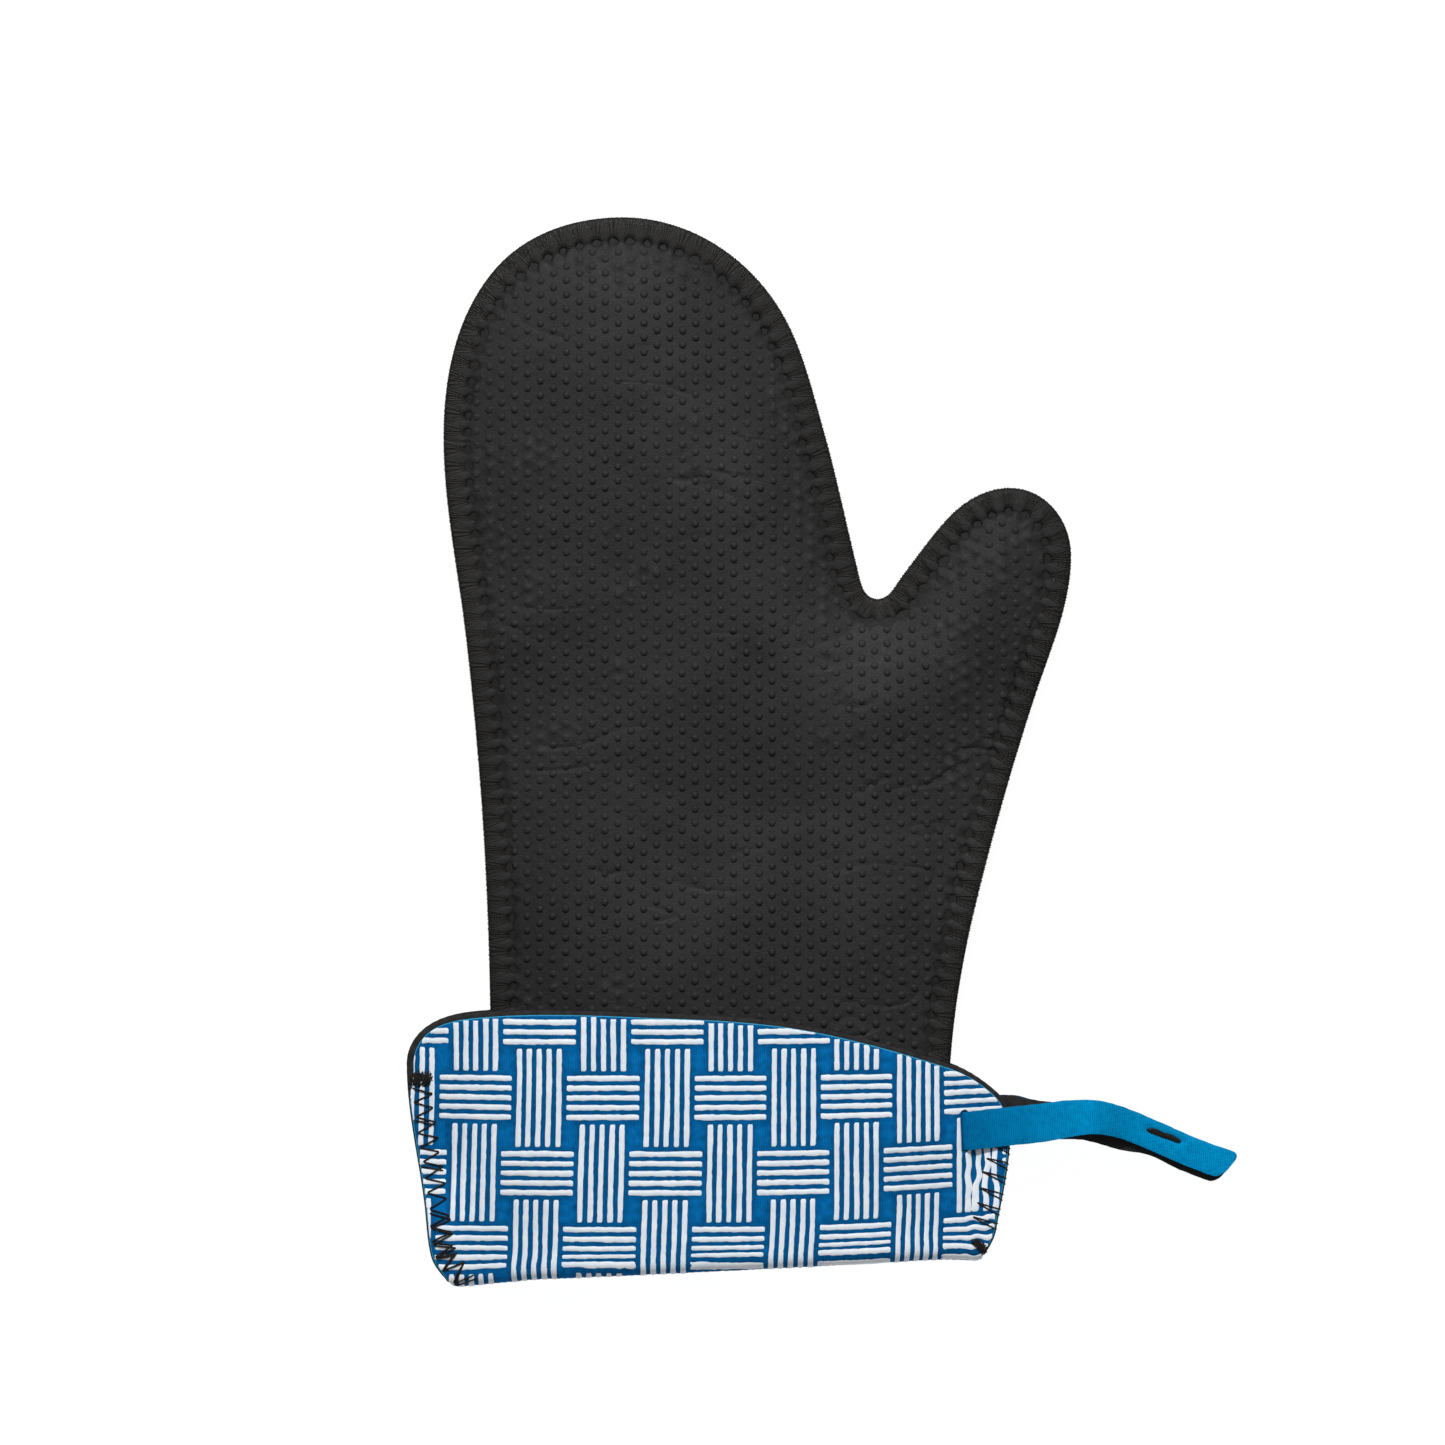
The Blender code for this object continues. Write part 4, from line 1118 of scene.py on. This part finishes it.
def stroke_sides(number, x, y, ux, uy, length):
    """Plan points down both sides of a painted stroke: unsteady, and drawn out of line by the right edge."""
    run = np.linspace(-length / 2, length / 2, int(length / STROKE_STEP) + 1)
    seed = number * 37.7
    bend = (0.13 - 0.06 * ux) * row_noise(run + seed, seed, 14.0, 41)
    ragged = 0.10 + 0.07 * ux
    left = ragged * row_noise(run + seed, 3.1, 1.5, 43)
    right = ragged * row_noise(run + seed, 9.7, 1.5, 47)
    half = STROKE_WIDTH / 2 * (1 + 0.04 * ux + 0.08 * row_noise(run + seed, 1.3, 9.0, 53))
    tip = fraction((length / 2 - np.abs(run)) / 0.45)
    half = half * (0.78 + 0.22 * np.sqrt(tip))
    spread = uy * ease((x - 50) / 4) * ease((-136 - y - run) / 8)
    half = half * (1 + 0.5 * spread * (0.5 + 0.5 * row_noise(run, seed, 6.0, 89)))
    sides = np.stack([bend - half + left, bend + half + right], 1)
    px, py = stretch_print(x + ux * run[:, None] - uy * sides, y + uy * run[:, None] + ux * sides)
    near_right = ease((px - 47) / 7) * ease((-138 - py) / 8)
    pulled = row_noise(py.ravel(), 7.3 * number, 4.2, 83).reshape(py.shape)
    px = px + 0.8 * near_right * pulled * uy
    return px, py + 0.35 * near_right * np.sin((px + number) * 0.9) * ux


def stroke_margin(side, s, q):
    """How far inside the printed cloth points lie: from its edge, the slit and where the print ends."""
    flat = np.stack([s.ravel(), q.ravel()], 1)
    margin = cloth_margin(flat) - 0.25
    if side == PALM:
        away = np.abs(flat - on_flap(*SLIT_PLAN)) - (SLIT_WIDTH / 2, SLIT_LENGTH / 2)
        margin = np.minimum(margin, away.max(1) - 0.3)
    return np.minimum(margin, PRINT_END - flat[:, 1]).reshape(-1, 2)


def stroke_bar(left, right, first):
    """A bar of ink between two lines: its flat points, their heights and its faces from vertex first on."""
    rows = len(left)
    shoulder = 0.16 * (right - left)
    block = np.stack([left, left + shoulder, right - shoulder, right], 1).reshape(-1, 2)
    height = np.tile([INK_FOOT, INK_TOP, INK_TOP, INK_FOOT], rows)
    height[:4] = height[-4:] = INK_FOOT
    k = np.arange(rows - 1)[:, None] * 4 + first
    faces = []
    for c in range(3):
        faces.extend(np.concatenate([k + c, k + c + 1, k + c + 5, k + c + 4], 1).tolist())
    faces.extend(np.concatenate([k + 3, k, k + 4, k + 7], 1).tolist())
    last = first + (rows - 1) * 4
    ends = [[first + 3, first + 2, first + 1, first], [last, last + 1, last + 2, last + 3]]
    return block, height, faces + ends


def print_strokes(name, side, finish):
    """The white strokes: thin raised bars of ink, cut off where the cloth ends."""
    verts, faces, depths, first = [], [], [], 0
    for number, stroke in enumerate(basket_strokes()):
        s, t = to_fold(*stroke_sides(number, *stroke))
        s, q = level_out(side, s, -FOLD_ARC - t)
        if q.min() > PRINT_END or q.max() < PRINT_FAR:
            continue
        margin = stroke_margin(side, s, q)
        m0, m1 = margin.T
        share = fraction(m0 / np.where(m0 == m1, 1, m0 - m1))
        low_end, high_end = np.where(m0 < 0, share, 0), np.where(m1 < 0, share, 1)
        keep = (margin.max(1) > 0.15) & (high_end - low_end > 0.12)
        a, b = np.stack([s, q], 2).transpose(1, 0, 2)
        left, right = a + low_end[:, None] * (b - a), a + high_end[:, None] * (b - a)
        cuts = np.flatnonzero(np.diff(np.concatenate([[0], keep.astype(int), [0]])))
        for start, stop in zip(cuts[::2], cuts[1::2]):
            if stop - start < 3:
                continue
            block, height, bar = stroke_bar(left[start:stop], right[start:stop], first)
            verts.append(block)
            depths.append(height)
            faces.extend(bar)
            first += len(block)
    flat, height = np.vstack(verts), np.concatenate(depths)
    points, normal = panel_frame(side, *flat.T)
    lift = -HALF + cloth_relief(side, flat) + height
    if side == PALM:
        faces = [f[::-1] for f in faces]
    return add_mesh(name, points + lift[:, None] * normal, faces, finish)


# ---------------------------------------------------------------- threads

def around_edge(panel_run, run, depth, height):
    """Points by run and depth, and by height over the seam plane where 0 is between the panels."""
    flat = edge_spot(panel_run, run, depth)
    upper = height >= 0
    w = np.where(upper, height - GAP / 2 - HALF, -height - GAP / 2 - HALF)
    return np.where(upper[:, None], panel_point(PALM, *flat.T, w), panel_point(BACK, *flat.T, w))


def seam_threads(name, face):
    """Overedge stitches of one face: from each needle hole a fan of fine threads runs over the cut edge."""
    paths = []
    top = GAP / 2 + LAMINATE
    depth = np.array([NEEDLE + 0.1, NEEDLE - 0.5, 6.6, 4.8, 3.0, 1.5, 0.6, -0.1, -0.42, -0.52, -0.52])
    lift = np.array([-0.45, -0.02, 0.10, 0.15, 0.16, 0.15, 0.15, 0.08, -0.45, -1.5, -2.95])
    out = np.clip(1 - depth / NEEDLE, 0, 1.05)
    for k in range(STITCH_COUNT):
        centre = (k + 0.5) * STITCH_PITCH
        if face < 0:
            centre += STITCH_PITCH / 2
        if centre > NEEDLE_LENGTH[-1] - 1.5:
            continue
        for n, lean in enumerate(THREAD_LEANS):
            reach = 2.85 * lean + 0.42 * needle_jitter(k, n + 7)
            sway = 0.2 * needle_jitter(k, n + 13) * np.sin(out * 3.1)
            mark = centre + 0.5 * lean + (reach - 0.5 * lean) * out ** 0.8 + sway
            run = np.clip(from_needle(mark), 0.4, HAND_LENGTH[-1] - 0.4)
            relief = band_relief(np.maximum(depth, 0), run)
            over = np.where(depth > -0.2, relief, relief[7])
            height = face * (top + over + lift + 0.05 * needle_jitter(k, n + 3))
            height[-1] = face * 0.35
            paths.append(around_edge(HAND_RUN, run, depth, height))
    sides = 5
    verts, faces = tubes(paths, SEAM_THREAD_RADIUS, sides)
    # Painted shade and light: each thread is painted darker towards its needle hole, and the threads on the
    # mitt's left and top are painted lighter than those on its right.
    needle_hole_shade = 1 - 0.92 * bell(np.maximum(NEEDLE - depth, 0), 2.6)
    starts = np.array([path[0] for path in paths])
    dot_wear_and_thread_light = 0.66 + 0.34 * ease((-10 - starts[:, 0]) / 60 + (starts[:, 1] - 130) / 80)
    shade = np.repeat(np.outer(dot_wear_and_thread_light, needle_hole_shade), sides)
    return add_mesh(name, verts, faces, SEAM_THREAD, shade, smooth_angle=80)


def zigzag_corners(count, pass_number, wrapped):
    """Where one pass of the zigzag turns: distances along the cuff's edge and depths in from it."""
    corners = []
    for k in range(count):
        if pass_number and (wrapped or needle_jitter(k, 21) < -0.15):
            continue
        centre = (k + 0.5) * ZIGZAG_PITCH + 0.9 * pass_number
        centre += 0.5 * needle_jitter(k, 3 + pass_number)
        deep = 8.8 + 0.6 * needle_jitter(k, 5 + pass_number)
        shallow = 1.1 + 0.4 * needle_jitter(k, 9 + pass_number)
        if wrapped:
            corners.extend([(centre - 0.4, -0.5), (centre + 0.3, deep), (centre - 2.5, -0.5)])
        else:
            corners.extend([(centre - ZIGZAG_PITCH / 2, shallow), (centre, deep)])
    return corners


def cuff_zigzag(name, run, wrapped):
    """The cuff's loose zigzag on both flaps' side edges; a wrapped one goes round the cut edge."""
    length = float(run_lengths(EDGE[run])[-1])
    face = HALF + 0.26
    f = np.linspace(0, 1, 9)
    bow = np.sin(math.pi * f)
    paths = []
    for panel, pass_number in ((PALM, 0), (PALM, 1), (BACK, 0), (BACK, 1)):
        corners = zigzag_corners(int(length // ZIGZAG_PITCH), pass_number, wrapped)
        for (m0, d0), (m1, d1) in zip(corners, corners[1:]):
            if abs(m1 - m0) > ZIGZAG_PITCH * 0.9:
                continue
            depth = d0 + (d1 - d0) * f
            w = -(face - 0.65 * (1 - bow) ** 6 + 0.1 * bow + 0.12 * pass_number)
            if wrapped:
                around = np.interp(depth, [-0.5, 0.0, 0.3], [-HALF, 0.6, face - 0.1])
                w = np.where(depth < 0.3, -around, w)
            spot = edge_spot(run, np.clip(m0 + (m1 - m0) * f, 0, length), depth)
            paths.append(panel_point(panel, *spot.T, w))
    verts, faces = tubes(paths, 0.27 if wrapped else 0.31)
    return add_mesh(name, verts, faces, THREAD_BLACK, smooth_angle=80)


def bartack(name, spot, rows, sunk, squared, place):
    """A bartack: a rounded heap of threads laid across each other, over its plan oblong.

    squared says how blunt its ends are; sunk is how deep its threads lie in the cloth.
    """
    (x, y), length, width, turn = spot
    c, n = math.cos(turn), math.sin(turn)
    paths = []

    def lay(forward, across, rise):
        paths.append(place(x + forward * c - across * n, y + forward * n + across * c, rise - sunk))

    run = np.linspace(-1, 1, 9)
    for k in range(rows):
        u = (k / (rows - 1) - 0.5) * 2
        reach = width / 2 * (1 - abs(u) ** squared) ** 0.5 * (1 + 0.16 * needle_jitter(k, 1)) + 0.35
        slant = (0.10 + 0.10 * needle_jitter(k, 5)) * width * (1 if k % 2 else -1)
        rise = 0.75 * np.sqrt(fraction(1 - run ** 2)) - 0.3 * np.abs(run) ** 3
        rise += 0.14 * needle_jitter(k, 2)
        lay(u * length / 2 + slant * run, run * reach + 0.10 * width * needle_jitter(k, 6), rise)
    run = np.linspace(-1, 1, 15)
    for k in range(4):
        forward = run * length / 2 * (0.93 + 0.06 * needle_jitter(k, 8))
        across = (k / 3 - 0.5) * width * 0.55 + 0.12 * width * np.sin(run * 3 + k)
        lay(forward, across, 0.9 * fraction(1 - run ** 4) ** 0.5 - 0.25 + 0.1 * needle_jitter(k, 9))
    verts, faces = tubes(paths, max(0.2, 0.62 * length / rows))
    return add_mesh(name, verts, faces, THREAD_BLACK, smooth_angle=80)


def on_cuff(x, y, rise):
    """Points on the palm flap's print side."""
    s, q = on_flap(x, y)
    return panel_point(PALM, s, q, -HALF - rise)


# ---------------------------------------------------------------- hanging loop

STRIP_FOAM, STRIP_FACE, STRIP_GAP = 1.2, 0.5, 0.3
STRIP = STRIP_FOAM + STRIP_GAP + STRIP_FACE
STRIP_CLEARANCE = 0.8
STRIP_WIDTH_ROOT, STRIP_WIDTH_TIP = 13.8, 10.7
HINGE_X, HINGE_HALF_GAP = 76.0, 2.8
TIP_X, TIP_SLANT = 150.4, 2.4
EYE_START, EYE_END, EYE_SWELL = 79.0, 113.0, 5.0
HINGE_Z = SEAM_Z_CUFF + EDGE_RISE_RIGHT + LAMINATE / 2


def strip_y(x):
    """The hanging loop's middle line in plan."""
    drop = 18.6 * ease((x - 93) / 84) + 0.5 * ease((x - 90) / 30)
    return -133.3 + 1.9 * np.sin((x - 76) * math.pi / 44) + 0.9 * bell(x - 96, 15) - drop


def leg_shift(x):
    """How far the back leg lies above the front one in plan: over it by the cuff, then under it."""
    over = 4.4 * (1 - ease((x - 62) / 24))
    under = 4.4 * ease((x - 78) / 27) - 2.4 * ease((x - 107) / 14) + 0.5 * ease((x - 122) / 8)
    return over - under


def loop_height(x):
    """Height of the loop's middle line, from the hinge down to its tip."""
    far = fraction((x - HINGE_X) / (TIP_X - HINGE_X))
    return 2.65 + (HINGE_Z - 2.65) * (1 - far) ** 1.8


def leg_offset(x):
    """How far each leg lies from that line: they part in an eye near the hinge."""
    across = fraction((x - EYE_START) / (EYE_END - EYE_START))
    return STRIP / 2 + GAP / 2 + EYE_SWELL * np.sin(math.pi * across) ** 2


def strip_width(x):
    """Width of the strip, which narrows a little towards the tip."""
    return STRIP_WIDTH_ROOT + (STRIP_WIDTH_TIP - STRIP_WIDTH_ROOT) * ease((x - 76) / 40)


def root_stations():
    """Middle points and half widths of the strip from the hinge through the slit and back."""
    slit_s, slit_q = on_flap(*SLIT_PLAN)
    rest = LAMINATE / 2 + STRIP_CLEARANCE + STRIP / 2
    join = STRIP / 2 + GAP / 2
    bend = 2.4
    hinge_s = to_fold(HINGE_X - HINGE_HALF_GAP, strip_y(HINGE_X))[0]
    edge_s = to_fold(68.5, -136.0)[0]
    leg = [(hinge_s, join)] + [(edge_s + f * (slit_s + bend - edge_s), rest) for f in (0, 0.35, 0.7)]
    corner = [
        (slit_s + bend - bend * math.sin(a), rest - bend + bend * math.cos(a))
        for a in np.radians([0, 30, 60, 90])
    ]
    half = leg + corner
    route = [(s, -w, 1) for s, w in half] + [(s, w, -1) for s, w in reversed(half)]
    points, across = [], []
    for s, w, leg_side in route:
        share = (s - slit_s) / (hinge_s - slit_s)
        drift = 1.0 * float(ease(share))
        if leg_side < 0:
            drift += float(leg_shift(SLIT_PLAN[0] + s - slit_s) * ease(1.5 * share))
        points.append(panel_point(PALM, s, slit_q - drift, w)[0])
        across.append(np.array((-math.sin(FOLD_TILT), math.cos(FOLD_TILT), 0)) * STRIP_WIDTH_ROOT / 2)
    return points, across


def leg_stations(leg_side):
    """Middle points and half widths of one free leg, from the hinge to the tip."""
    points, across = [], []
    end = TIP_X - TIP_SLANT - 1.3 - (0 if leg_side > 0 else 1.7)
    for x in np.linspace(HINGE_X + HINGE_HALF_GAP, end, 22):
        shift = 0 if leg_side > 0 else leg_shift(x)
        slope = strip_y(x + 0.5) - strip_y(x - 0.5)
        side = np.array([-slope, 1, 0]) / math.hypot(slope, 1)
        points.append((x, strip_y(x) + shift, loop_height(x) + leg_side * leg_offset(x)))
        across.append(side * strip_width(x) / 2)
    return points, across


def strip_run():
    """The whole strip: front tip, front leg, through the slit, back leg, back tip."""
    front, front_across = leg_stations(1)
    root, root_across = root_stations()
    back, back_across = leg_stations(-1)
    points = np.array(front[::-1] + root + back)
    across = np.array(front_across[::-1] + root_across + back_across)
    keep = [0]
    for i in range(1, len(points)):
        if math.dist(points[i], points[keep[-1]]) > 0.7:
            keep.append(i)
    keep[-1] = len(points) - 1
    points, across = points[keep], across[keep]
    length = run_lengths(points)
    fine = densify(points, 0.9)
    fine_length = run_lengths(fine)
    fine_length *= length[-1] / fine_length[-1]
    close = np.array([0.1, 0.28, 0.55, 1.35, 2.2])
    marks = np.unique(np.concatenate([fine_length, close, fine_length[-1] - close]))
    return at_marks(marks, fine_length, fine), at_marks(marks, length, across), marks


TACK_START, TACK_END = (116.2, -135.3), (128.6, -139.9)


def tack_dent(points):
    """1 under the loop's bartack, falling to 0 beside it."""
    a, b = np.array(TACK_START), np.array(TACK_END)
    share = fraction(((points[:, :2] - a) @ (b - a)) / ((b - a) @ (b - a)))
    away = np.linalg.norm(points[:, :2] - a - share[:, None] * (b - a), axis=1)
    return bell(away, 1.5)


def strip_mesh(name, profile, finish, seed, ripple=0.0):
    """A strip swept along the loop: profile gives (across -1..1, height, round-off) points, closed."""
    centres, across, run = strip_run()
    ahead = unit(np.gradient(centres, axis=0))
    across = across - ahead * (across * ahead).sum(1)[:, None]
    half = np.linalg.norm(across, axis=1)[:, None]
    wide = across / half
    up = unit(np.cross(ahead, wide))
    end = np.minimum(run, run[-1] - run)
    tip = rounded(end, 3.6)
    sections = []
    for part, height, inset in profile:
        reach = half[:, 0] * part - np.sign(part) * inset
        wobble = 0.10 * row_noise(run, seed + 10 * part, 1.6, 61) * (abs(part) > 0.9)
        reach = reach * (0.4 + 0.6 * tip) + wobble
        wave = ripple * noise(np.stack([run, reach], 1), 7.0, 67)
        slant = np.where(run < run[-1] / 2, -1, 1) * TIP_SLANT * (reach / half[:, 0]) * ease(1 - end / 8)
        spots = centres + reach[:, None] * wide
        pressed = 0.6 * np.interp(height, [-STRIP / 2, STRIP / 2], [1, 0.3])
        wave = wave + pressed * tack_dent(spots) * (run < run[-1] / 2)
        sections.append(spots + (height + wave)[:, None] * up + slant[:, None] * ahead)
    ring = np.stack(sections, 1)
    mesh = add_mesh(name, ring.reshape(-1, 3), ring_faces(*ring.shape[:2]), finish, smooth_angle=60)
    fix = bmesh.new()
    fix.from_mesh(mesh.data)
    bmesh.ops.recalc_face_normals(fix, faces=fix.faces)
    fix.to_mesh(mesh.data)
    fix.free()
    return mesh


def face_profile():
    """Jersey face of the strip: a flat band whose cut edges roll a little over the foam."""
    low, high = -STRIP / 2, -STRIP / 2 + STRIP_FACE
    marks = (-1, -0.88, -0.72, -0.58, -0.45, -0.32, -0.2, -0.1, 0, 0.1, 0.2, 0.32, 0.45, 0.58, 0.72, 0.88, 1)
    outer = [(m, low + 0.24 * abs(m) ** 6, 0.0) for m in marks]
    inner = [(m, high + 0.06 * abs(m) ** 6, 0.04) for m in reversed(marks)]
    return outer + inner


def foam_profile():
    """Foam of the strip: a bar with round edges."""
    low, high = STRIP / 2 - STRIP_FOAM - 0.22, STRIP / 2
    marks = (-1, -0.9, -0.5, 0, 0.5, 0.9, 1)
    lower = [(m, low + 0.28 * abs(m) ** 8, 0.05) for m in marks]
    upper = [(m, high - 0.32 * abs(m) ** 8, 0.05) for m in reversed(marks)]
    return lower + upper


def on_front_leg(x, y, rise):
    """Points over the loop's front face, by plan position."""
    z = loop_height(x) + leg_offset(x) + STRIP / 2 + rise
    return np.stack([x, y, z], 1)


def loop_tack(name):
    """The bartack that holds the loop's two legs together, sunk in the front face."""
    (x0, y0), (x1, y1) = TACK_START, TACK_END
    turn = math.atan2(y1 - y0, x1 - x0)
    middle_point = ((x0 + x1) / 2, (y0 + y1) / 2)
    spot = (middle_point, math.dist(TACK_START, TACK_END) - 0.6, 2.1, turn)
    return bartack(name, spot, 34, 0.75, 6.0, on_front_leg)


# ---------------------------------------------------------------- putting it together


for label, panel in SIDES:
    skin = rubber_skin(f"{label}_skin", panel)
    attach(skin, "mitt")
    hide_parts(f"{label}_rubber_skin")
    pad = foam_pad(f"{label}_pad", panel)
    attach(pad, "mitt")
    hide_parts(f"{label}_foam")
    cloth = jersey_lining(f"{label}_cloth", panel)
    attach(cloth, "mitt")
    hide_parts(f"{label}_lining")
    ink = print_strokes(f"{label}_print", panel, INK)
    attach(ink, "mitt")

for label, panel in SIDES:
    seam = seam_threads(f"{label}_stitches", panel)
    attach(seam, "mitt")
    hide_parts("perimeter_seam_thread")

ZIGZAG_RUNS = {
    "left": edge_run(lambda s, q: (s < -80) & (q < 2) & (q > -FOLD_ARC - 68)),
    "right": edge_run(lambda s, q: (s > 80) & (q < -FOLD_ARC - 6) & (q > -FOLD_ARC - 42)),
}
for label, run in ZIGZAG_RUNS.items():
    zigzag = cuff_zigzag(f"zigzag_{label}", run, label == "right")
    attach(zigzag, "mitt")
    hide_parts(f"cuff_zigzag_{label}")

TACKS = {
    "left": (((-143.5, -117.0), 8.0, 5.6, 0.10), 26),
    "right": (((55.7, -176.5), 5.6, 3.0, -0.62), 18),
}
for label, (spot, rows) in TACKS.items():
    tack = bartack(f"tack_{label}", spot, rows, 0.1, 3.0, on_cuff)
    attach(tack, "mitt")
    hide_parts(f"bartack_{label}")

face = strip_mesh("loop_face", face_profile(), LOOP_JERSEY, 3.0, 0.06)
core = strip_mesh("loop_core", foam_profile(), NEOPRENE, 3.0, 0.06)
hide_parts("loop_root_face", "loop_front_face", "loop_back_face")
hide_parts("loop_root_foam", "loop_front_foam", "loop_back_foam")
STRIP_FLAT = (float(strip_run()[2][-1]) * MM, (STRIP_WIDTH_ROOT + STRIP_WIDTH_TIP) / 2 * MM)
for piece in (face, core):
    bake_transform(piece)
stitches = loop_tack("loop_tack")
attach(stitches, "hanging_loop")
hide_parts("loop_bartack")


# ---------------------------------------------------------------- stage

def stage():
    """Pale floor, soft light that comes mostly from the fingertips' side, and the camera straight above."""
    scene = bpy.context.scene
    scene.view_settings.view_transform = "Standard"
    floor_finish = principled("floor_white", (0.1, 0.1, 0.1), 0.9, specular=0.0)[0]
    shader = floor_finish.node_tree.nodes["Principled BSDF"]
    shader.inputs["Emission Color"].default_value = (1, 1, 1, 1)
    shader.inputs["Emission Strength"].default_value = 0.97
    mesh = bpy.data.meshes.new("floor")
    mesh.from_pydata([(-4, -4, 0), (4, -4, 0), (4, 4, 0), (-4, 4, 0)], [], [(0, 1, 2, 3)])
    mesh.materials.append(floor_finish)
    floor = bpy.data.objects.new("floor", mesh)
    floor.location.z = -0.0009
    scene.collection.objects.link(floor)
    world = bpy.data.worlds.new("soft_white")
    world.use_nodes = True
    world.node_tree.nodes["Background"].inputs["Color"].default_value = (1, 1, 1, 1)
    world.node_tree.nodes["Background"].inputs["Strength"].default_value = 0.2
    scene.world = world
    for name, spot, size, power in (
        ("key", (-0.12, 1.5, 1.55), 0.42, 48.0),
        ("fill", (0.3, 0.2, 2.6), 2.4, 7.0),
    ):
        lamp = bpy.data.lights.new(name, "AREA")
        lamp.shape = "DISK"
        lamp.size = size
        lamp.energy = power
        item = bpy.data.objects.new(name, lamp)
        item.location = spot
        item.rotation_euler = Vector((-0.03, 0, 0.01) - np.array(spot)).to_track_quat("-Z", "Y").to_euler()
        scene.collection.objects.link(item)
    lens = bpy.data.cameras.new("camera")
    lens.lens, lens.sensor_width = 207.6, 36.0
    lens.clip_start, lens.clip_end = 0.05, 20
    camera = bpy.data.objects.new("camera", lens)
    camera.location = (-0.0361, 0.0106, 3.0)
    scene.collection.objects.link(camera)
    scene.camera = camera


stage()
